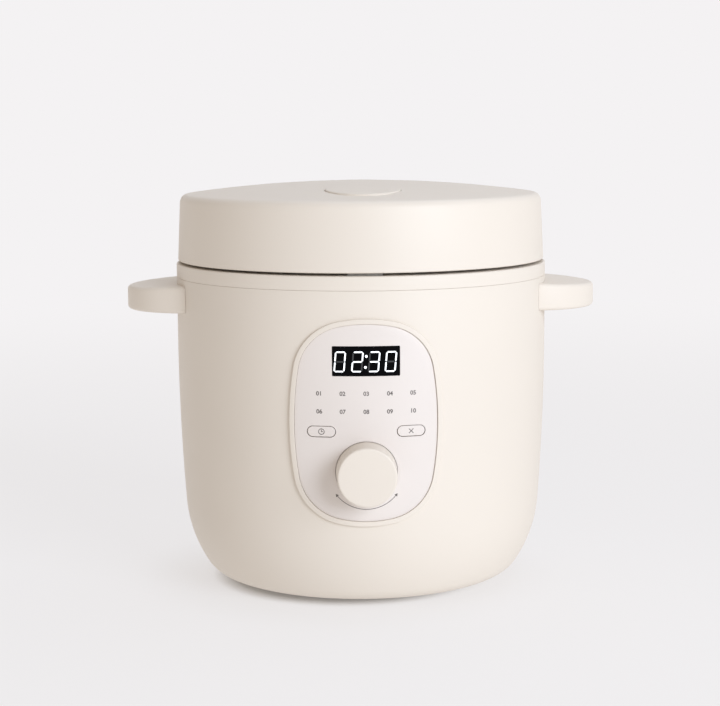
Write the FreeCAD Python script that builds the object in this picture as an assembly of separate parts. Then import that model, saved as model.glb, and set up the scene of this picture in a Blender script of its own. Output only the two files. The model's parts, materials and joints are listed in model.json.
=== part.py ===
import FreeCAD, Part
import math
import os

# A countertop rice cooker: round plastic body, curved control panel, ear handles, inner pot, latched lid.
# Millimetres and degrees. The origin is on the floor under the body's axis, the front faces -Y and +Z is up.

# Clearances
FIT = 0.2            # between fixed pieces that drop into each other
SKIN_GAP = 0.1       # between curved skins that lie on each other
RUNNING = 0.05       # radial play of a pin or shaft that turns
FREE = 0.35          # round a piece that is pushed by hand
REST = 0.3           # between a moving piece and the seat it rests on
MATCH = 0.0001       # how near an edge lies to the place it is looked for

# Body shell
BODY_RADIUS = 102.4
BODY_TOP = 177.4
WALL = 2.4
SIDE_RADIUS = 1310.0
HIP_RADIUS = 71.0
TOE_RADIUS = 14.8
SIDE_TURN = 4.0
HIP_TURN = 29.0
PART_LINE = 0.25
RIM_ROUND = 0.8

# Collar that closes the body's top
COLLAR_HEIGHT = 7.5
DECK_THICKNESS = 2.4
TONGUE_DEPTH = 4.5
LEDGE_DROP = 5.2
LEDGE_THICKNESS = 2.0

# Inner pot, liner and heater, from the outside in and from the floor up
SERVICE_SPACE = 19.0
LINER_WALL = 0.8
LINER_FLANGE = 4.0
LINER_ROUND = 10.0
POT_CLEARANCE = 3.0
POT_WALL = 1.6
POT_CORNER = 18.0
POT_RIM_WIDTH = 5.0
POT_RIM_HEIGHT = 2.8
POT_RIM_ROUND = 0.9
POT_LIP_ROUND = 0.8
POT_RIM_CLEARANCE = 1.4
POT_LEDGE_CLEARANCE = 1.6
BASE_SPACE = 40.0
POST_HEIGHT = 6.2
POST_RADIUS = 4.0
POST_INSET = 9.0
POST_COUNT = 3
POST_ANGLE = 90.0
HEATER_INSET = 13.6
HEATER_THICKNESS = 8.0
HEATER_DISH_ROUND = 2.0
ELEMENT_INSET = 22.0
ELEMENT_TUBE = 3.2
ELEMENT_TURN = 325.0
TERMINAL_LENGTH = 4.0

# Temperature sensor in the middle of the heater
SENSOR_RADIUS = 11.5
SENSOR_HEIGHT = 9.0
SENSOR_WALL = 1.0
SENSOR_TOP = 1.5
SENSOR_BORE_GAP = 0.7
SENSOR_TRAVEL = 2.5
BRACKET_FLANGE = 1.5
BRACKET_POST_RADIUS = 3.6
BRACKET_POST_HEIGHT = 5.0
SENSOR_SPRING_RADIUS = 6.4
SENSOR_SPRING_WIRE = 1.0
SENSOR_SPRING_TURNS = 4

# Base
FOOT_HEIGHT = 4.0
FOOT_RADIUS = 8.0
FOOT_INSET = 16.0
FOOT_ROUND = 1.0
FOOT_STEM_RADIUS = 2.5
FOOT_HEAD_RADIUS = 3.6
FOOT_HEAD_HEIGHT = 1.6
BASE_INSET = 36.4
BASE_LEDGE_WIDTH = 7.0
BASE_LEDGE_HEIGHT = 2.0
BASE_BOSS_RADIUS = 4.0
BASE_BOSS_HEIGHT = 8.0
VENT_SLOT_COUNT = 7
VENT_SLOT_WIDTH = 2.6
VENT_SLOT_LENGTH = 34.0
VENT_SLOT_PITCH = 7.0
VENT_SLOT_PLACE = -26.0

# Screws
SCREW_RADIUS = 1.5
SCREW_HEAD_RADIUS = 2.9
SCREW_HEAD_HEIGHT = 1.8
SCREW_BITE = 5.0
CORNER_COUNT = 4
CORNER_ANGLE = 45.0

# Handles
HANDLE_REACH = 27.6
HANDLE_PLAN_RADIUS = 37.5
HANDLE_DROP = 25.4
HANDLE_THICKNESS = 14.9
HANDLE_TAPER = 2.1
HANDLE_ROUND = 2.0
HANDLE_WALL = 4.0
HANDLE_POCKET = 3.0
HANDLE_BOSS_RADIUS = 4.0
HANDLE_BOSS_SPREAD = 18.0
HANDLE_BOSS_DEPTH = 5.0
HANDLE_BOSS_ROOT = 2.0

# Control panel on the front
PANEL_DROP = 75.2
PANEL_HALF_WIDTH = 36.6
PANEL_HALF_HEIGHT = 51.0
PANEL_SIDE_RADIUS = 175.0
PANEL_END_RADIUS = 67.5
PANEL_CORNER_RADIUS = 26.0
PLATE_THICKNESS = 2.0
PLATE_PROUD = 0.7
BEZEL_PROUD = 1.1
BEZEL_WIDTH = 2.8
BEZEL_SKIRT = 1.4
BEZEL_DEPTH = 4.0
BEZEL_LEDGE = 1.6
DISPLAY_WIDTH = 34.4
DISPLAY_HEIGHT = 15.2
DISPLAY_RISE = 32.3
WINDOW_FLANGE = 1.2
WINDOW_FLANGE_DEPTH = 1.2
KEY_SPREAD = 22.9
KEY_DROP = 4.1
KEY_LENGTH = 14.1
KEY_HEIGHT = 5.3
KEY_TRAVEL = 0.5
KEY_FLANGE = 1.0
KEY_FLANGE_DEPTH = 1.2
KEY_STEM_RADIUS = 1.6
SWITCH_SIZE = 6.0
SWITCH_DEPTH = 3.4
SWITCH_TIP_RADIUS = 1.7
SWITCH_TIP_DEPTH = 1.0

# Control board behind the panel
BOARD_SETBACK = 13.8
BOARD_THICKNESS = 1.6
BOARD_HALF_WIDTH = 33.0
BOARD_HALF_HEIGHT = 44.0
BOARD_BOSS_RADIUS = 3.0
BOARD_BOSS_SPREAD = 23.5
BOARD_BOSS_RISE = 38.5
MODULE_DEPTH = 7.0
MODULE_MARGIN = 1.0

# Knob and rotary encoder
KNOB_DROP = 25.0
KNOB_BASE_RADIUS = 15.7
KNOB_FACE_RADIUS = 15.2
KNOB_HEIGHT = 15.5
KNOB_ROUND = 1.0
KNOB_WALL = 2.0
KNOB_SKIRT = 2.2
KNOB_HUB_RADIUS = 5.2
KNOB_HUB_RELIEF = 4.0
KNOB_TRAVEL = 0.8
KNOB_GAP = 0.45
WELL_DEPTH = 4.2
WELL_WALL = 1.2
SHAFT_RADIUS = 3.0
SHAFT_FLAT = 1.0
SHAFT_REACH = 11.0
ENCODER_SIZE = 12.0
ENCODER_DEPTH = 6.0
BUSHING_RADIUS = 4.0
BUSHING_LENGTH = 2.6
PLUNGER_RADIUS = 2.4
PLUNGER_DEPTH = 1.4
PLUNGER_BACK = 0.8

# Power inlet at the back and power board in the base
INLET_RISE = 36.0
INLET_WIDTH = 31.0
INLET_HEIGHT = 24.0
INLET_DEPTH = 16.0
INLET_PROUD = 0.4
SOCKET_WIDTH = 24.4
SOCKET_HEIGHT = 16.6
SOCKET_DEPTH = 12.5
SOCKET_CHAMFER = 4.0
PIN_WIDTH = 2.0
PIN_HEIGHT = 4.0
PIN_LENGTH = 10.0
PIN_SPREAD = 7.0
PIN_OFFSET = 2.0
PIN_TAIL = 1.0
POWER_BOARD_LENGTH = 76.0
POWER_BOARD_WIDTH = 48.0
POWER_BOARD_PLACE = 14.0
STANDOFF_HEIGHT = 6.0
STANDOFF_RADIUS = 3.0
STANDOFF_INSET = 10.0
RELAY_SIZE = (20.0, 16.0, 15.0)
TRANSFORMER_SIZE = (22.0, 20.0, 17.0)
CAPACITOR_RADIUS = 5.0
CAPACITOR_HEIGHT = 16.0
COMPONENT_SPREAD = 24.0

# Lid
SEAM_GAP = 1.4
LID_INSET = 0.9
LID_DRAFT = 1.7
LID_HEIGHT = 35.8
DOME_RISE = 7.0
LID_EDGE_ROUND = 3.8
LID_PLATE_RISE = 0.4
LID_PLATE_THICKNESS = 2.0
LID_BOSS_RADIUS = 4.0
LID_BOSS_INSET = 11.4
INNER_LID_INSET = 2.0
INNER_LID_WALL = 0.8
INNER_LID_RIM = 7.0
INNER_LID_SLOPE = 4.0
INNER_LID_DISH = 3.0
GASKET_LIP = 2.6
GASKET_INNER = 3.0
PLUG_RADIUS = 9.0
PLUG_HEAD = 2.4
PLUG_POST_RADIUS = 4.0
PLUG_POST_ENTRY = 1.2

# Steam vent at the back of the lid
VENT_INSET = 44.4
VENT_RADIUS = 16.0
VENT_WALL = 1.6
VENT_PROUD = 0.3
VENT_DEPTH = 20.0
VENT_STEM_RADIUS = 7.6
VENT_STEM_LENGTH = 12.0
VENT_BORE_RADIUS = 3.0
VENT_OUTLET_COUNT = 5
VENT_OUTLET_WIDTH = 2.2
VENT_OUTLET_LENGTH = 12.0
VENT_OUTLET_PITCH = 4.4
SLEEVE_WALL = 1.6
SLEEVE_DEPTH = 9.0
CHIMNEY_WALL = 1.6
SEAL_THICKNESS = 1.6

# Lid button and latch
BUTTON_INSET = 42.4
BUTTON_RADIUS = 19.8
BUTTON_PROUD = 0.7
BUTTON_SKIRT = 9.0
BUTTON_WALL = 1.8
BUTTON_ROUND = 0.6
BUTTON_STEM_RADIUS = 4.0
BUTTON_STEM_ROUND = 2.0
BUTTON_REST = 0.5
BUTTON_TRAVEL = 3.0
LATCH_WIDTH = 18.0
LATCH_INSET = 11.4
LATCH_RISE = 13.0
LATCH_BAR = 3.2
LATCH_EYE_RADIUS = 3.6
LATCH_PIN_RADIUS = 1.5
LATCH_LUG = 3.0
LATCH_PLAY = 0.5
LATCH_ARM_END = 5.0
LATCH_ARM_WIDTH = 9.0
HOOK_ARM = 3.0
HOOK_OFFSET = 0.4
HOOK_BITE = 1.4
HOOK_NOSE = 3.2
HOOK_LEAD = 0.7
HOOK_PLAY = 0.6
SLOT_OUTER_PLAY = 3.4
LATCH_SPRING_INSET = 31.4
LATCH_SPRING_RADIUS = 3.4
LATCH_SPRING_WIRE = 0.8
LATCH_SPRING_TURNS = 4

# Hinge at the back
HINGE_SETBACK = 6.4
HINGE_RISE = 7.1
KNUCKLE_RADIUS = 5.6
HINGE_PIN_RADIUS = 2.0
HINGE_HALF_WIDTH = 28.0
EAR_WIDTH = 13.0
ARM_PLAY = 0.5
ARM_KNUCKLE = 8.0
ARM_ROOT = 16.0
BRACKET_DROP = 26.0
BRACKET_TOE = 18.0
BRACKET_SCREW_DROP = 17.0
BRACKET_SCREW_SPREAD = 19.0
BRACKET_SCREW_REACH = 3.0
HINGE_SPRING_WIRE = 1.0
HINGE_SPRING_TURNS = 4.5
HINGE_SPRING_LEG = 5.0
HINGE_SPRING_END = 2.0

# Places worked out from the sizes above
REACH = 2 * BODY_RADIUS
COLLAR_LINE = BODY_TOP - COLLAR_HEIGHT
DECK_UNDER = BODY_TOP - DECK_THICKNESS
LEDGE_TOP = BODY_TOP - LEDGE_DROP
LEDGE_UNDER = LEDGE_TOP - LEDGE_THICKNESS
FLOOR_TOP = FOOT_HEIGHT + WALL
BASE_OPENING_RADIUS = BODY_RADIUS - BASE_INSET
FOOT_PLACE = BASE_OPENING_RADIUS - FOOT_INSET
LINER_RADIUS = BODY_RADIUS - SERVICE_SPACE
POT_RADIUS = LINER_RADIUS - LINER_WALL - POT_CLEARANCE
POT_RIM_RADIUS = POT_RADIUS + POT_RIM_WIDTH
HEATER_RADIUS = POT_RADIUS - HEATER_INSET
ELEMENT_RADIUS = HEATER_RADIUS - ELEMENT_INSET
POST_PLACE = HEATER_RADIUS - POST_INSET
DECK_INNER = POT_RIM_RADIUS + POT_RIM_CLEARANCE
TONGUE_OUTER = BODY_RADIUS - WALL - FIT
LINER_BOTTOM = FOOT_HEIGHT + BASE_SPACE
HEATER_BOTTOM = LINER_BOTTOM + LINER_WALL + POST_HEIGHT
POT_BOTTOM = HEATER_BOTTOM + HEATER_THICKNESS
PANEL_Z = BODY_TOP - PANEL_DROP
DISPLAY_Z = PANEL_Z + DISPLAY_RISE
KEY_Z = PANEL_Z - KEY_DROP
KNOB_Z = PANEL_Z - KNOB_DROP
BOARD_FRONT = -(BODY_RADIUS - BOARD_SETBACK)
BOARD_BACK = BOARD_FRONT + BOARD_THICKNESS
PLATE_BACK = PLATE_PROUD - PLATE_THICKNESS
INLET_Z = FOOT_HEIGHT + INLET_RISE
HANDLE_BOTTOM = BODY_TOP - HANDLE_DROP
HANDLE_TIP = BODY_RADIUS + HANDLE_REACH
HANDLE_CENTRE = HANDLE_TIP - HANDLE_PLAN_RADIUS
LID_RADIUS = BODY_RADIUS - LID_INSET
LID_BOTTOM = BODY_TOP + SEAM_GAP
LID_RIM = LID_BOTTOM + LID_HEIGHT
LID_TOP = LID_RIM + DOME_RISE
DOME_EDGE = LID_RADIUS - LID_DRAFT
DOME_RADIUS = (DOME_EDGE ** 2 + DOME_RISE ** 2) / (2 * DOME_RISE)
INNER_LID_RADIUS = POT_RIM_RADIUS - INNER_LID_INSET
LID_BOSS_PLACE = BODY_RADIUS - LID_BOSS_INSET
VENT_PLACE = BODY_RADIUS - VENT_INSET
BUTTON_PLACE = BODY_RADIUS - BUTTON_INSET
LATCH_PLACE = BODY_RADIUS - LATCH_INSET
LATCH_SPRING_PLACE = BODY_RADIUS - LATCH_SPRING_INSET
PLATE_UNDER = LID_BOTTOM + LID_PLATE_RISE
PLATE_TOP = PLATE_UNDER + LID_PLATE_THICKNESS
LATCH_Z = PLATE_TOP + LATCH_RISE
HINGE_Y = BODY_RADIUS + HINGE_SETBACK
HINGE_Z = BODY_TOP + HINGE_RISE

V = FreeCAD.Vector
UP = V(0, 0, 1)


def turned(start, *steps):
    """A solid turned about Z. A step is a radius and height, or a pair: a point on an arc and its end."""
    edges = []
    here = V(start[0], 0, start[1])
    for step in steps + (start,):
        end = step[1] if isinstance(step[0], tuple) else step
        there = V(end[0], 0, end[1])
        if isinstance(step[0], tuple):
            edges.append(Part.Arc(here, V(step[0][0], 0, step[0][1]), there).toShape())
        else:
            edges.append(Part.LineSegment(here, there).toShape())
        here = there
    return Part.Face(Part.Wire(edges)).revolve(V(), UP, 360)


def block(x, y, z):
    """A box between the two ends given on each axis."""
    return Part.makeBox(x[1] - x[0], y[1] - y[0], z[1] - z[0], V(x[0], y[0], z[0]))


def rod(radius, start, end):
    """A round bar from one centre to the other."""
    way = end - start
    return Part.makeCylinder(radius, way.Length, start, way)


def plate_from(points, across, way):
    """A flat polygon pushed along a direction by a thickness, centred on where it was drawn."""
    face = Part.Face(Part.makePolygon(points + points[:1]))
    face.translate(way * (-across / 2))
    return face.extrude(way * across)


def rounded(shape, radius, height, size):
    """The shape with the round edge at this radius and height filleted."""
    def wanted(edge):
        if edge.Degenerated or not isinstance(edge.Curve, Part.Circle):
            return False
        return abs(edge.Curve.Radius - radius) < MATCH and abs(edge.Curve.Center.z - height) < MATCH
    return shape.makeFillet(size, [edge for edge in shape.Edges if wanted(edge)])


def around(count, radius, height, first):
    """Places spread evenly on a circle about Z, starting at an angle."""
    turns = [math.radians(first + 360.0 * index / count) for index in range(count)]
    return [V(radius * math.cos(turn), radius * math.sin(turn), height) for turn in turns]


def screw(head, way, length):
    """A pan-head screw whose head stands on a face at head and whose shank runs along way."""
    shank = rod(SCREW_RADIUS, head, head + way * length)
    return shank.fuse(rod(SCREW_HEAD_RADIUS, head - way * SCREW_HEAD_HEIGHT, head)).removeSplitter()


def save(name, *solids):
    """Write one piece, or a group of like pieces."""
    shape = solids[0] if len(solids) == 1 else Part.makeCompound(list(solids))
    shape.exportStep(os.path.join("parts", name + ".step"))


def biarc(start, start_way, end, end_way):
    """Two arcs that leave start along one way, meet smoothly and arrive at end along the other."""
    gap = end - start
    square = 2 * (start_way.dot(end_way) - 1)
    linear = -2 * gap.dot(start_way + end_way)
    reach = (-linear - math.sqrt(linear ** 2 - 4 * square * gap.dot(gap))) / (2 * square)
    knees = (start + start_way * reach, end - end_way * reach)
    meeting = (knees[0] + knees[1]) / 2
    arcs = []
    for first, knee, last in ((start, knees[0], meeting), (meeting, knees[1], end)):
        middle = (first + last) / 2
        lean = (first - middle).Length / reach
        arcs.append(Part.Arc(first, middle + (knee - middle) * (lean / (1 + lean)), last).toShape())
    return arcs


def coil(name, radius, wire, turns, height, leg):
    """A spring wound about Z from Z = 0, as one tube with straight legs along its ends."""
    pitch = height / turns
    steps = round(4 * turns)
    rise = pitch / (2 * math.pi)
    points = []
    ways = []
    for step in range(steps + 1):
        turn = step * math.pi / 2
        points.append(V(radius * math.cos(turn), radius * math.sin(turn), rise * turn))
        ways.append(V(-radius * math.sin(turn), radius * math.cos(turn), rise).normalize())
    edges = [Part.LineSegment(points[0] - ways[0] * leg, points[0]).toShape()]
    for step in range(steps):
        edges += biarc(points[step], ways[step], points[step + 1], ways[step + 1])
    edges.append(Part.LineSegment(points[-1], points[-1] + ways[-1] * leg).toShape())
    gap = min((points[step + 4] - points[step]).Length for step in range(steps - 3)) - wire
    print(name, "least gap between turns", round(gap, 2))
    start = points[0] - ways[0] * leg
    section = Part.Wire(Part.makeCircle(wire / 2, start, ways[0]))
    return Part.Wire(edges).makePipeShell([section], True, False)


def side_arcs():
    """Centre, radius and end angles of the arcs that lead from the upright wall down to the base."""
    turns = [math.radians(turn) for turn in (0, SIDE_TURN, SIDE_TURN + HIP_TURN, 90)]
    radii = (SIDE_RADIUS, HIP_RADIUS, TOE_RADIUS)
    drops = [radii[k] * (math.sin(turns[k + 1]) - math.sin(turns[k])) for k in range(3)]
    centre_r = BODY_RADIUS - SIDE_RADIUS
    centre_z = FOOT_HEIGHT + sum(drops)
    arcs = []
    for k, radius in enumerate(radii):
        arcs.append((centre_r, centre_z, radius, turns[k], turns[k + 1]))
        if k < 2:
            centre_r += (radius - radii[k + 1]) * math.cos(turns[k + 1])
            centre_z -= (radius - radii[k + 1]) * math.sin(turns[k + 1])
    return arcs


def side_radius(z):
    """The body's outer radius at a height."""
    for centre_r, centre_z, radius, start, end in side_arcs():
        if z >= centre_z - radius * math.sin(start):
            return BODY_RADIUS
        if z >= centre_z - radius * math.sin(end):
            return centre_r + math.sqrt(radius ** 2 - (centre_z - z) ** 2)
    return centre_r


def body_form(offset, top=BODY_TOP):
    """The body's outer form, filled, with its skin moved outwards by an offset."""
    arcs = side_arcs()
    steps = [(BODY_RADIUS + offset, top), (BODY_RADIUS + offset, arcs[0][1])]
    for centre_r, centre_z, radius, start, end in arcs:
        ends = []
        for turn in ((start + end) / 2, end):
            away = radius + offset
            ends.append((centre_r + away * math.cos(turn), centre_z - away * math.sin(turn)))
        steps.append(tuple(ends))
    steps.append((0, FOOT_HEIGHT - offset))
    return turned((0, top), *steps)


def front_skin(outer, inner):
    """The layer between two offsets of the body's skin."""
    return body_form(outer).cut(body_form(inner))


def skin_y(x, z, offset):
    """Y of the front skin, moved outwards by an offset, at a place on the panel."""
    return -math.sqrt((side_radius(z) + offset) ** 2 - x ** 2)


def pushed(edges):
    """An outline in the XZ plane pushed forward through the front of the body."""
    return Part.Face(Part.Wire(edges)).extrude(V(0, -REACH, 0))


def arc_chain(points):
    """Arcs through points in the XZ plane that share their ends: end, middle, end, middle and so on."""
    spots = [V(x, 0, z) for x, z in points + points[:1]]
    return [Part.Arc(*spots[k:k + 3]).toShape() for k in range(0, len(points), 2)]


def panel_outline(grow):
    """The panel's eight-arc oval, grown by a margin and pushed through the front of the body."""
    side = V(PANEL_HALF_WIDTH - PANEL_SIDE_RADIUS, 0, 0)
    end = V(0, 0, PANEL_HALF_HEIGHT - PANEL_END_RADIUS)
    apart = end - side
    to_side = PANEL_SIDE_RADIUS - PANEL_CORNER_RADIUS
    to_end = PANEL_END_RADIUS - PANEL_CORNER_RADIUS
    along = (to_side ** 2 - to_end ** 2 + apart.Length ** 2) / (2 * apart.Length)
    across = math.sqrt(to_side ** 2 - along ** 2)
    unit = V(apart).normalize()
    corner = side + unit * along + V(-unit.z, 0, unit.x) * across
    hip = side + (corner - side).normalize() * (PANEL_SIDE_RADIUS + grow)
    shoulder = end + (corner - end).normalize() * (PANEL_END_RADIUS + grow)
    bend = corner + ((hip + shoulder) / 2 - corner).normalize() * (PANEL_CORNER_RADIUS + grow)
    width = PANEL_HALF_WIDTH + grow
    height = PANEL_HALF_HEIGHT + grow
    quarter = [(width, 0), (hip.x, hip.z), (bend.x, bend.z), (shoulder.x, shoulder.z), (0, height)]
    upper = quarter + [(-x, z) for x, z in reversed(quarter[:-1])]
    lower = [(-x, -z) for x, z in upper[1:-1]]
    around_panel = upper + lower
    return pushed(arc_chain([(x, z + PANEL_Z) for x, z in around_panel[-1:] + around_panel[:-1]]))


def key_outline(x, grow):
    """A lying capsule round a key's place, pushed through the front of the body."""
    half = KEY_HEIGHT / 2 + grow
    run = (KEY_LENGTH - KEY_HEIGHT) / 2
    low = KEY_Z - half
    high = KEY_Z + half
    ends = [V(x - run, 0, low), V(x + run, 0, low), V(x + run, 0, high), V(x - run, 0, high)]
    tips = (V(x + run + half, 0, KEY_Z), V(x - run - half, 0, KEY_Z))
    edges = [Part.LineSegment(ends[0], ends[1]), Part.Arc(ends[1], tips[0], ends[2])]
    edges += [Part.LineSegment(ends[2], ends[3]), Part.Arc(ends[3], tips[1], ends[0])]
    return pushed([edge.toShape() for edge in edges])


def display_outline(grow):
    """The display's upright rectangle, pushed through the front of the body."""
    x = DISPLAY_WIDTH / 2 + grow
    z = DISPLAY_HEIGHT / 2 + grow
    return block((-x, x), (-REACH, 0), (DISPLAY_Z - z, DISPLAY_Z + z))


def front_rod(radius, x, z, front, back):
    """A round bar along Y on the panel side."""
    return rod(radius, V(x, front, z), V(x, back, z))


def lid_form(inset):
    """The lid's outer form, filled, with its skin moved inwards by an inset."""
    rim = (DOME_EDGE - inset, LID_RIM - inset)
    half = rim[0] / 2
    crown = LID_TOP - inset
    through = (half, crown - DOME_RADIUS + math.sqrt(DOME_RADIUS ** 2 - half ** 2))
    foot = (LID_RADIUS - inset, LID_BOTTOM)
    drop = crown - DOME_RADIUS + math.sqrt(DOME_RADIUS ** 2 - rim[0] ** 2)
    return turned((0, LID_BOTTOM), foot, (rim[0], drop), (through, (0, crown)))


def dome_z(y):
    """Height of the lid's top at a distance from the axis."""
    return LID_TOP - DOME_RADIUS + math.sqrt(DOME_RADIUS ** 2 - y ** 2)


os.makedirs("parts", exist_ok=True)

# Outer body: one moulded bowl, open at the top for the collar and underneath for the base cover.
board_spots = [(x, PANEL_Z + z) for x in (-BOARD_BOSS_SPREAD, BOARD_BOSS_SPREAD)
               for z in (-BOARD_BOSS_RISE, BOARD_BOSS_RISE)]
handle_spots = [(side, y) for side in (-1, 1) for y in (-HANDLE_BOSS_SPREAD, HANDLE_BOSS_SPREAD)]
handle_boss_z = HANDLE_BOTTOM + HANDLE_POCKET + HANDLE_BOSS_RADIUS
handle_boss_end = BODY_RADIUS - WALL - HANDLE_BOSS_DEPTH
bracket_screw_z = BODY_TOP - BRACKET_SCREW_DROP
bracket_spots = [V(x, 0, bracket_screw_z) for x in (-BRACKET_SCREW_SPREAD, BRACKET_SCREW_SPREAD)]
bezel_outer = SKIN_GAP + FIT + BEZEL_SKIRT
base_spots = around(CORNER_COUNT, BASE_OPENING_RADIUS - BASE_BOSS_RADIUS, FOOT_HEIGHT, CORNER_ANGLE)

shell = body_form(0, COLLAR_LINE).cut(body_form(-WALL))
ledge_inner = BASE_OPENING_RADIUS - BASE_LEDGE_WIDTH
ledge_top = FLOOR_TOP + BASE_LEDGE_HEIGHT
ledge_outer = BASE_OPENING_RADIUS + WALL
ledge = turned((ledge_inner, FLOOR_TOP), (ledge_outer, FLOOR_TOP), (ledge_outer, ledge_top),
               (ledge_inner, ledge_top))
boss_feet = [p + V(0, 0, WALL) for p in base_spots]
bosses = [rod(BASE_BOSS_RADIUS, p, p + V(0, 0, BASE_BOSS_HEIGHT)) for p in boss_feet]
openings = [rod(BASE_OPENING_RADIUS, V(), V(0, 0, FLOOR_TOP))]
openings.append(panel_outline(bezel_outer + SKIN_GAP))
openings.append(block((-INLET_WIDTH / 2 - FIT, INLET_WIDTH / 2 + FIT), (0, REACH),
                      (INLET_Z - INLET_HEIGHT / 2 - FIT, INLET_Z + INLET_HEIGHT / 2 + FIT)))
for side, y in handle_spots:
    openings.append(rod(HANDLE_BOSS_RADIUS + FIT, V(0, y, handle_boss_z), V(side * REACH, y, handle_boss_z)))
for spot in bracket_spots:
    openings.append(rod(SCREW_RADIUS + FIT, spot, spot + V(0, REACH, 0)))
for p in base_spots:
    openings.append(rod(SCREW_RADIUS, p, p + V(0, 0, WALL + BASE_BOSS_HEIGHT)))
save("outer_body", shell.fuse([ledge] + bosses).cut(openings).removeSplitter())

# Collar: the ring that caps the body, carries the pot's rim and has the slot that the latch hook enters.
hook_inner = LATCH_PLACE + HOOK_OFFSET
hook_outer = hook_inner + HOOK_ARM
slot_inner = LATCH_PLACE - HOOK_OFFSET - HOOK_PLAY + FIT
slot_outer = hook_outer + SLOT_OUTER_PLAY
latch_half = LATCH_WIDTH / 2 + LATCH_PLAY
ledge_edge = POT_RADIUS + POT_LEDGE_CLEARANCE
inner_wall = DECK_INNER + WALL
tongue_foot = COLLAR_LINE - TONGUE_DEPTH
collar = turned(
    (BODY_RADIUS, COLLAR_LINE + PART_LINE), (BODY_RADIUS, BODY_TOP), (DECK_INNER, BODY_TOP),
    (DECK_INNER, LEDGE_TOP), (ledge_edge, LEDGE_TOP), (ledge_edge, LEDGE_UNDER), (inner_wall, LEDGE_UNDER),
    (inner_wall, DECK_UNDER), (TONGUE_OUTER - WALL, DECK_UNDER), (TONGUE_OUTER - WALL, tongue_foot),
    (TONGUE_OUTER, tongue_foot), (TONGUE_OUTER, COLLAR_LINE + PART_LINE))
collar = rounded(collar, BODY_RADIUS, BODY_TOP, RIM_ROUND)
collar = rounded(collar, DECK_INNER, BODY_TOP, RIM_ROUND)
slot = block((-latch_half, latch_half), (-slot_outer, -slot_inner), (DECK_UNDER, BODY_TOP))
save("collar_ring", collar.cut(slot))

# Base cover: a screwed disc with air slots, standoffs for the power board and holes for the feet.
cover = rod(BASE_OPENING_RADIUS - FIT, V(0, 0, FOOT_HEIGHT), V(0, 0, FLOOR_TOP))
foot_spots = around(CORNER_COUNT, FOOT_PLACE, 0, CORNER_ANGLE)
cover_cuts = [rod(FOOT_STEM_RADIUS + SKIN_GAP, p, p + V(0, 0, FLOOR_TOP)) for p in foot_spots]
cover_cuts += [rod(SCREW_RADIUS + FIT, p, p + V(0, 0, WALL)) for p in base_spots]
for index in range(VENT_SLOT_COUNT):
    x = (index - (VENT_SLOT_COUNT - 1) / 2) * VENT_SLOT_PITCH
    cover_cuts.append(block((x - VENT_SLOT_WIDTH / 2, x + VENT_SLOT_WIDTH / 2),
                            (VENT_SLOT_PLACE - VENT_SLOT_LENGTH / 2, VENT_SLOT_PLACE + VENT_SLOT_LENGTH / 2),
                            (FOOT_HEIGHT, FLOOR_TOP)))
board_z = FLOOR_TOP + STANDOFF_HEIGHT
standoff_x = POWER_BOARD_LENGTH / 2 - STANDOFF_INSET
standoff_y = POWER_BOARD_WIDTH / 2 - STANDOFF_INSET
standoff_spots = [V(x, POWER_BOARD_PLACE + y, FLOOR_TOP) for x in (-standoff_x, standoff_x)
                  for y in (-standoff_y, standoff_y)]
standoffs = [rod(STANDOFF_RADIUS, p, p + V(0, 0, STANDOFF_HEIGHT)) for p in standoff_spots]
save("base_cover", cover.cut(cover_cuts).fuse(standoffs).removeSplitter())
save("base_screws", *[screw(p, UP, WALL + SCREW_BITE) for p in base_spots])

# Feet: rubber pads with a stem pushed through the base cover and a head that keeps it there.
feet = []
for p in foot_spots:
    pad = turned((0, 0), (FOOT_RADIUS, 0), (FOOT_RADIUS, FOOT_HEIGHT), (FOOT_STEM_RADIUS, FOOT_HEIGHT),
                 (FOOT_STEM_RADIUS, FLOOR_TOP), (FOOT_HEAD_RADIUS, FLOOR_TOP),
                 (FOOT_STEM_RADIUS, FLOOR_TOP + FOOT_HEAD_HEIGHT), (0, FLOOR_TOP + FOOT_HEAD_HEIGHT))
    pad = rounded(pad, FOOT_RADIUS, 0, FOOT_ROUND)
    pad.translate(p)
    feet.append(pad)
save("feet", *feet)

# Handles: solid ears with a tapered top, a finger pocket underneath and two bosses through the body wall.
handle_top = HANDLE_BOTTOM + HANDLE_THICKNESS
root_x = HANDLE_CENTRE
ear = plate_from([V(0, 0, HANDLE_BOTTOM), V(REACH, 0, HANDLE_BOTTOM),
                  V(REACH, 0, handle_top - HANDLE_TAPER * (REACH - root_x) / (HANDLE_TIP - root_x)),
                  V(0, 0, handle_top + HANDLE_TAPER * root_x / (HANDLE_TIP - root_x))],
                 2 * HANDLE_PLAN_RADIUS, V(0, 1, 0))
ear = ear.common(Part.makeCylinder(HANDLE_PLAN_RADIUS, REACH, V(HANDLE_CENTRE, 0, 0)))
rims = [edge for edge in ear.Edges if not isinstance(edge.Curve, Part.Line)]
ear = ear.makeFillet(HANDLE_ROUND, rims)
pocket_floor = V(HANDLE_CENTRE, 0, HANDLE_BOTTOM)
pocket = rod(HANDLE_PLAN_RADIUS - HANDLE_WALL, pocket_floor, pocket_floor + V(0, 0, HANDLE_POCKET))
ear = ear.cut([pocket.cut(body_form(HANDLE_WALL)), body_form(SKIN_GAP)])
screws = []
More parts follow.
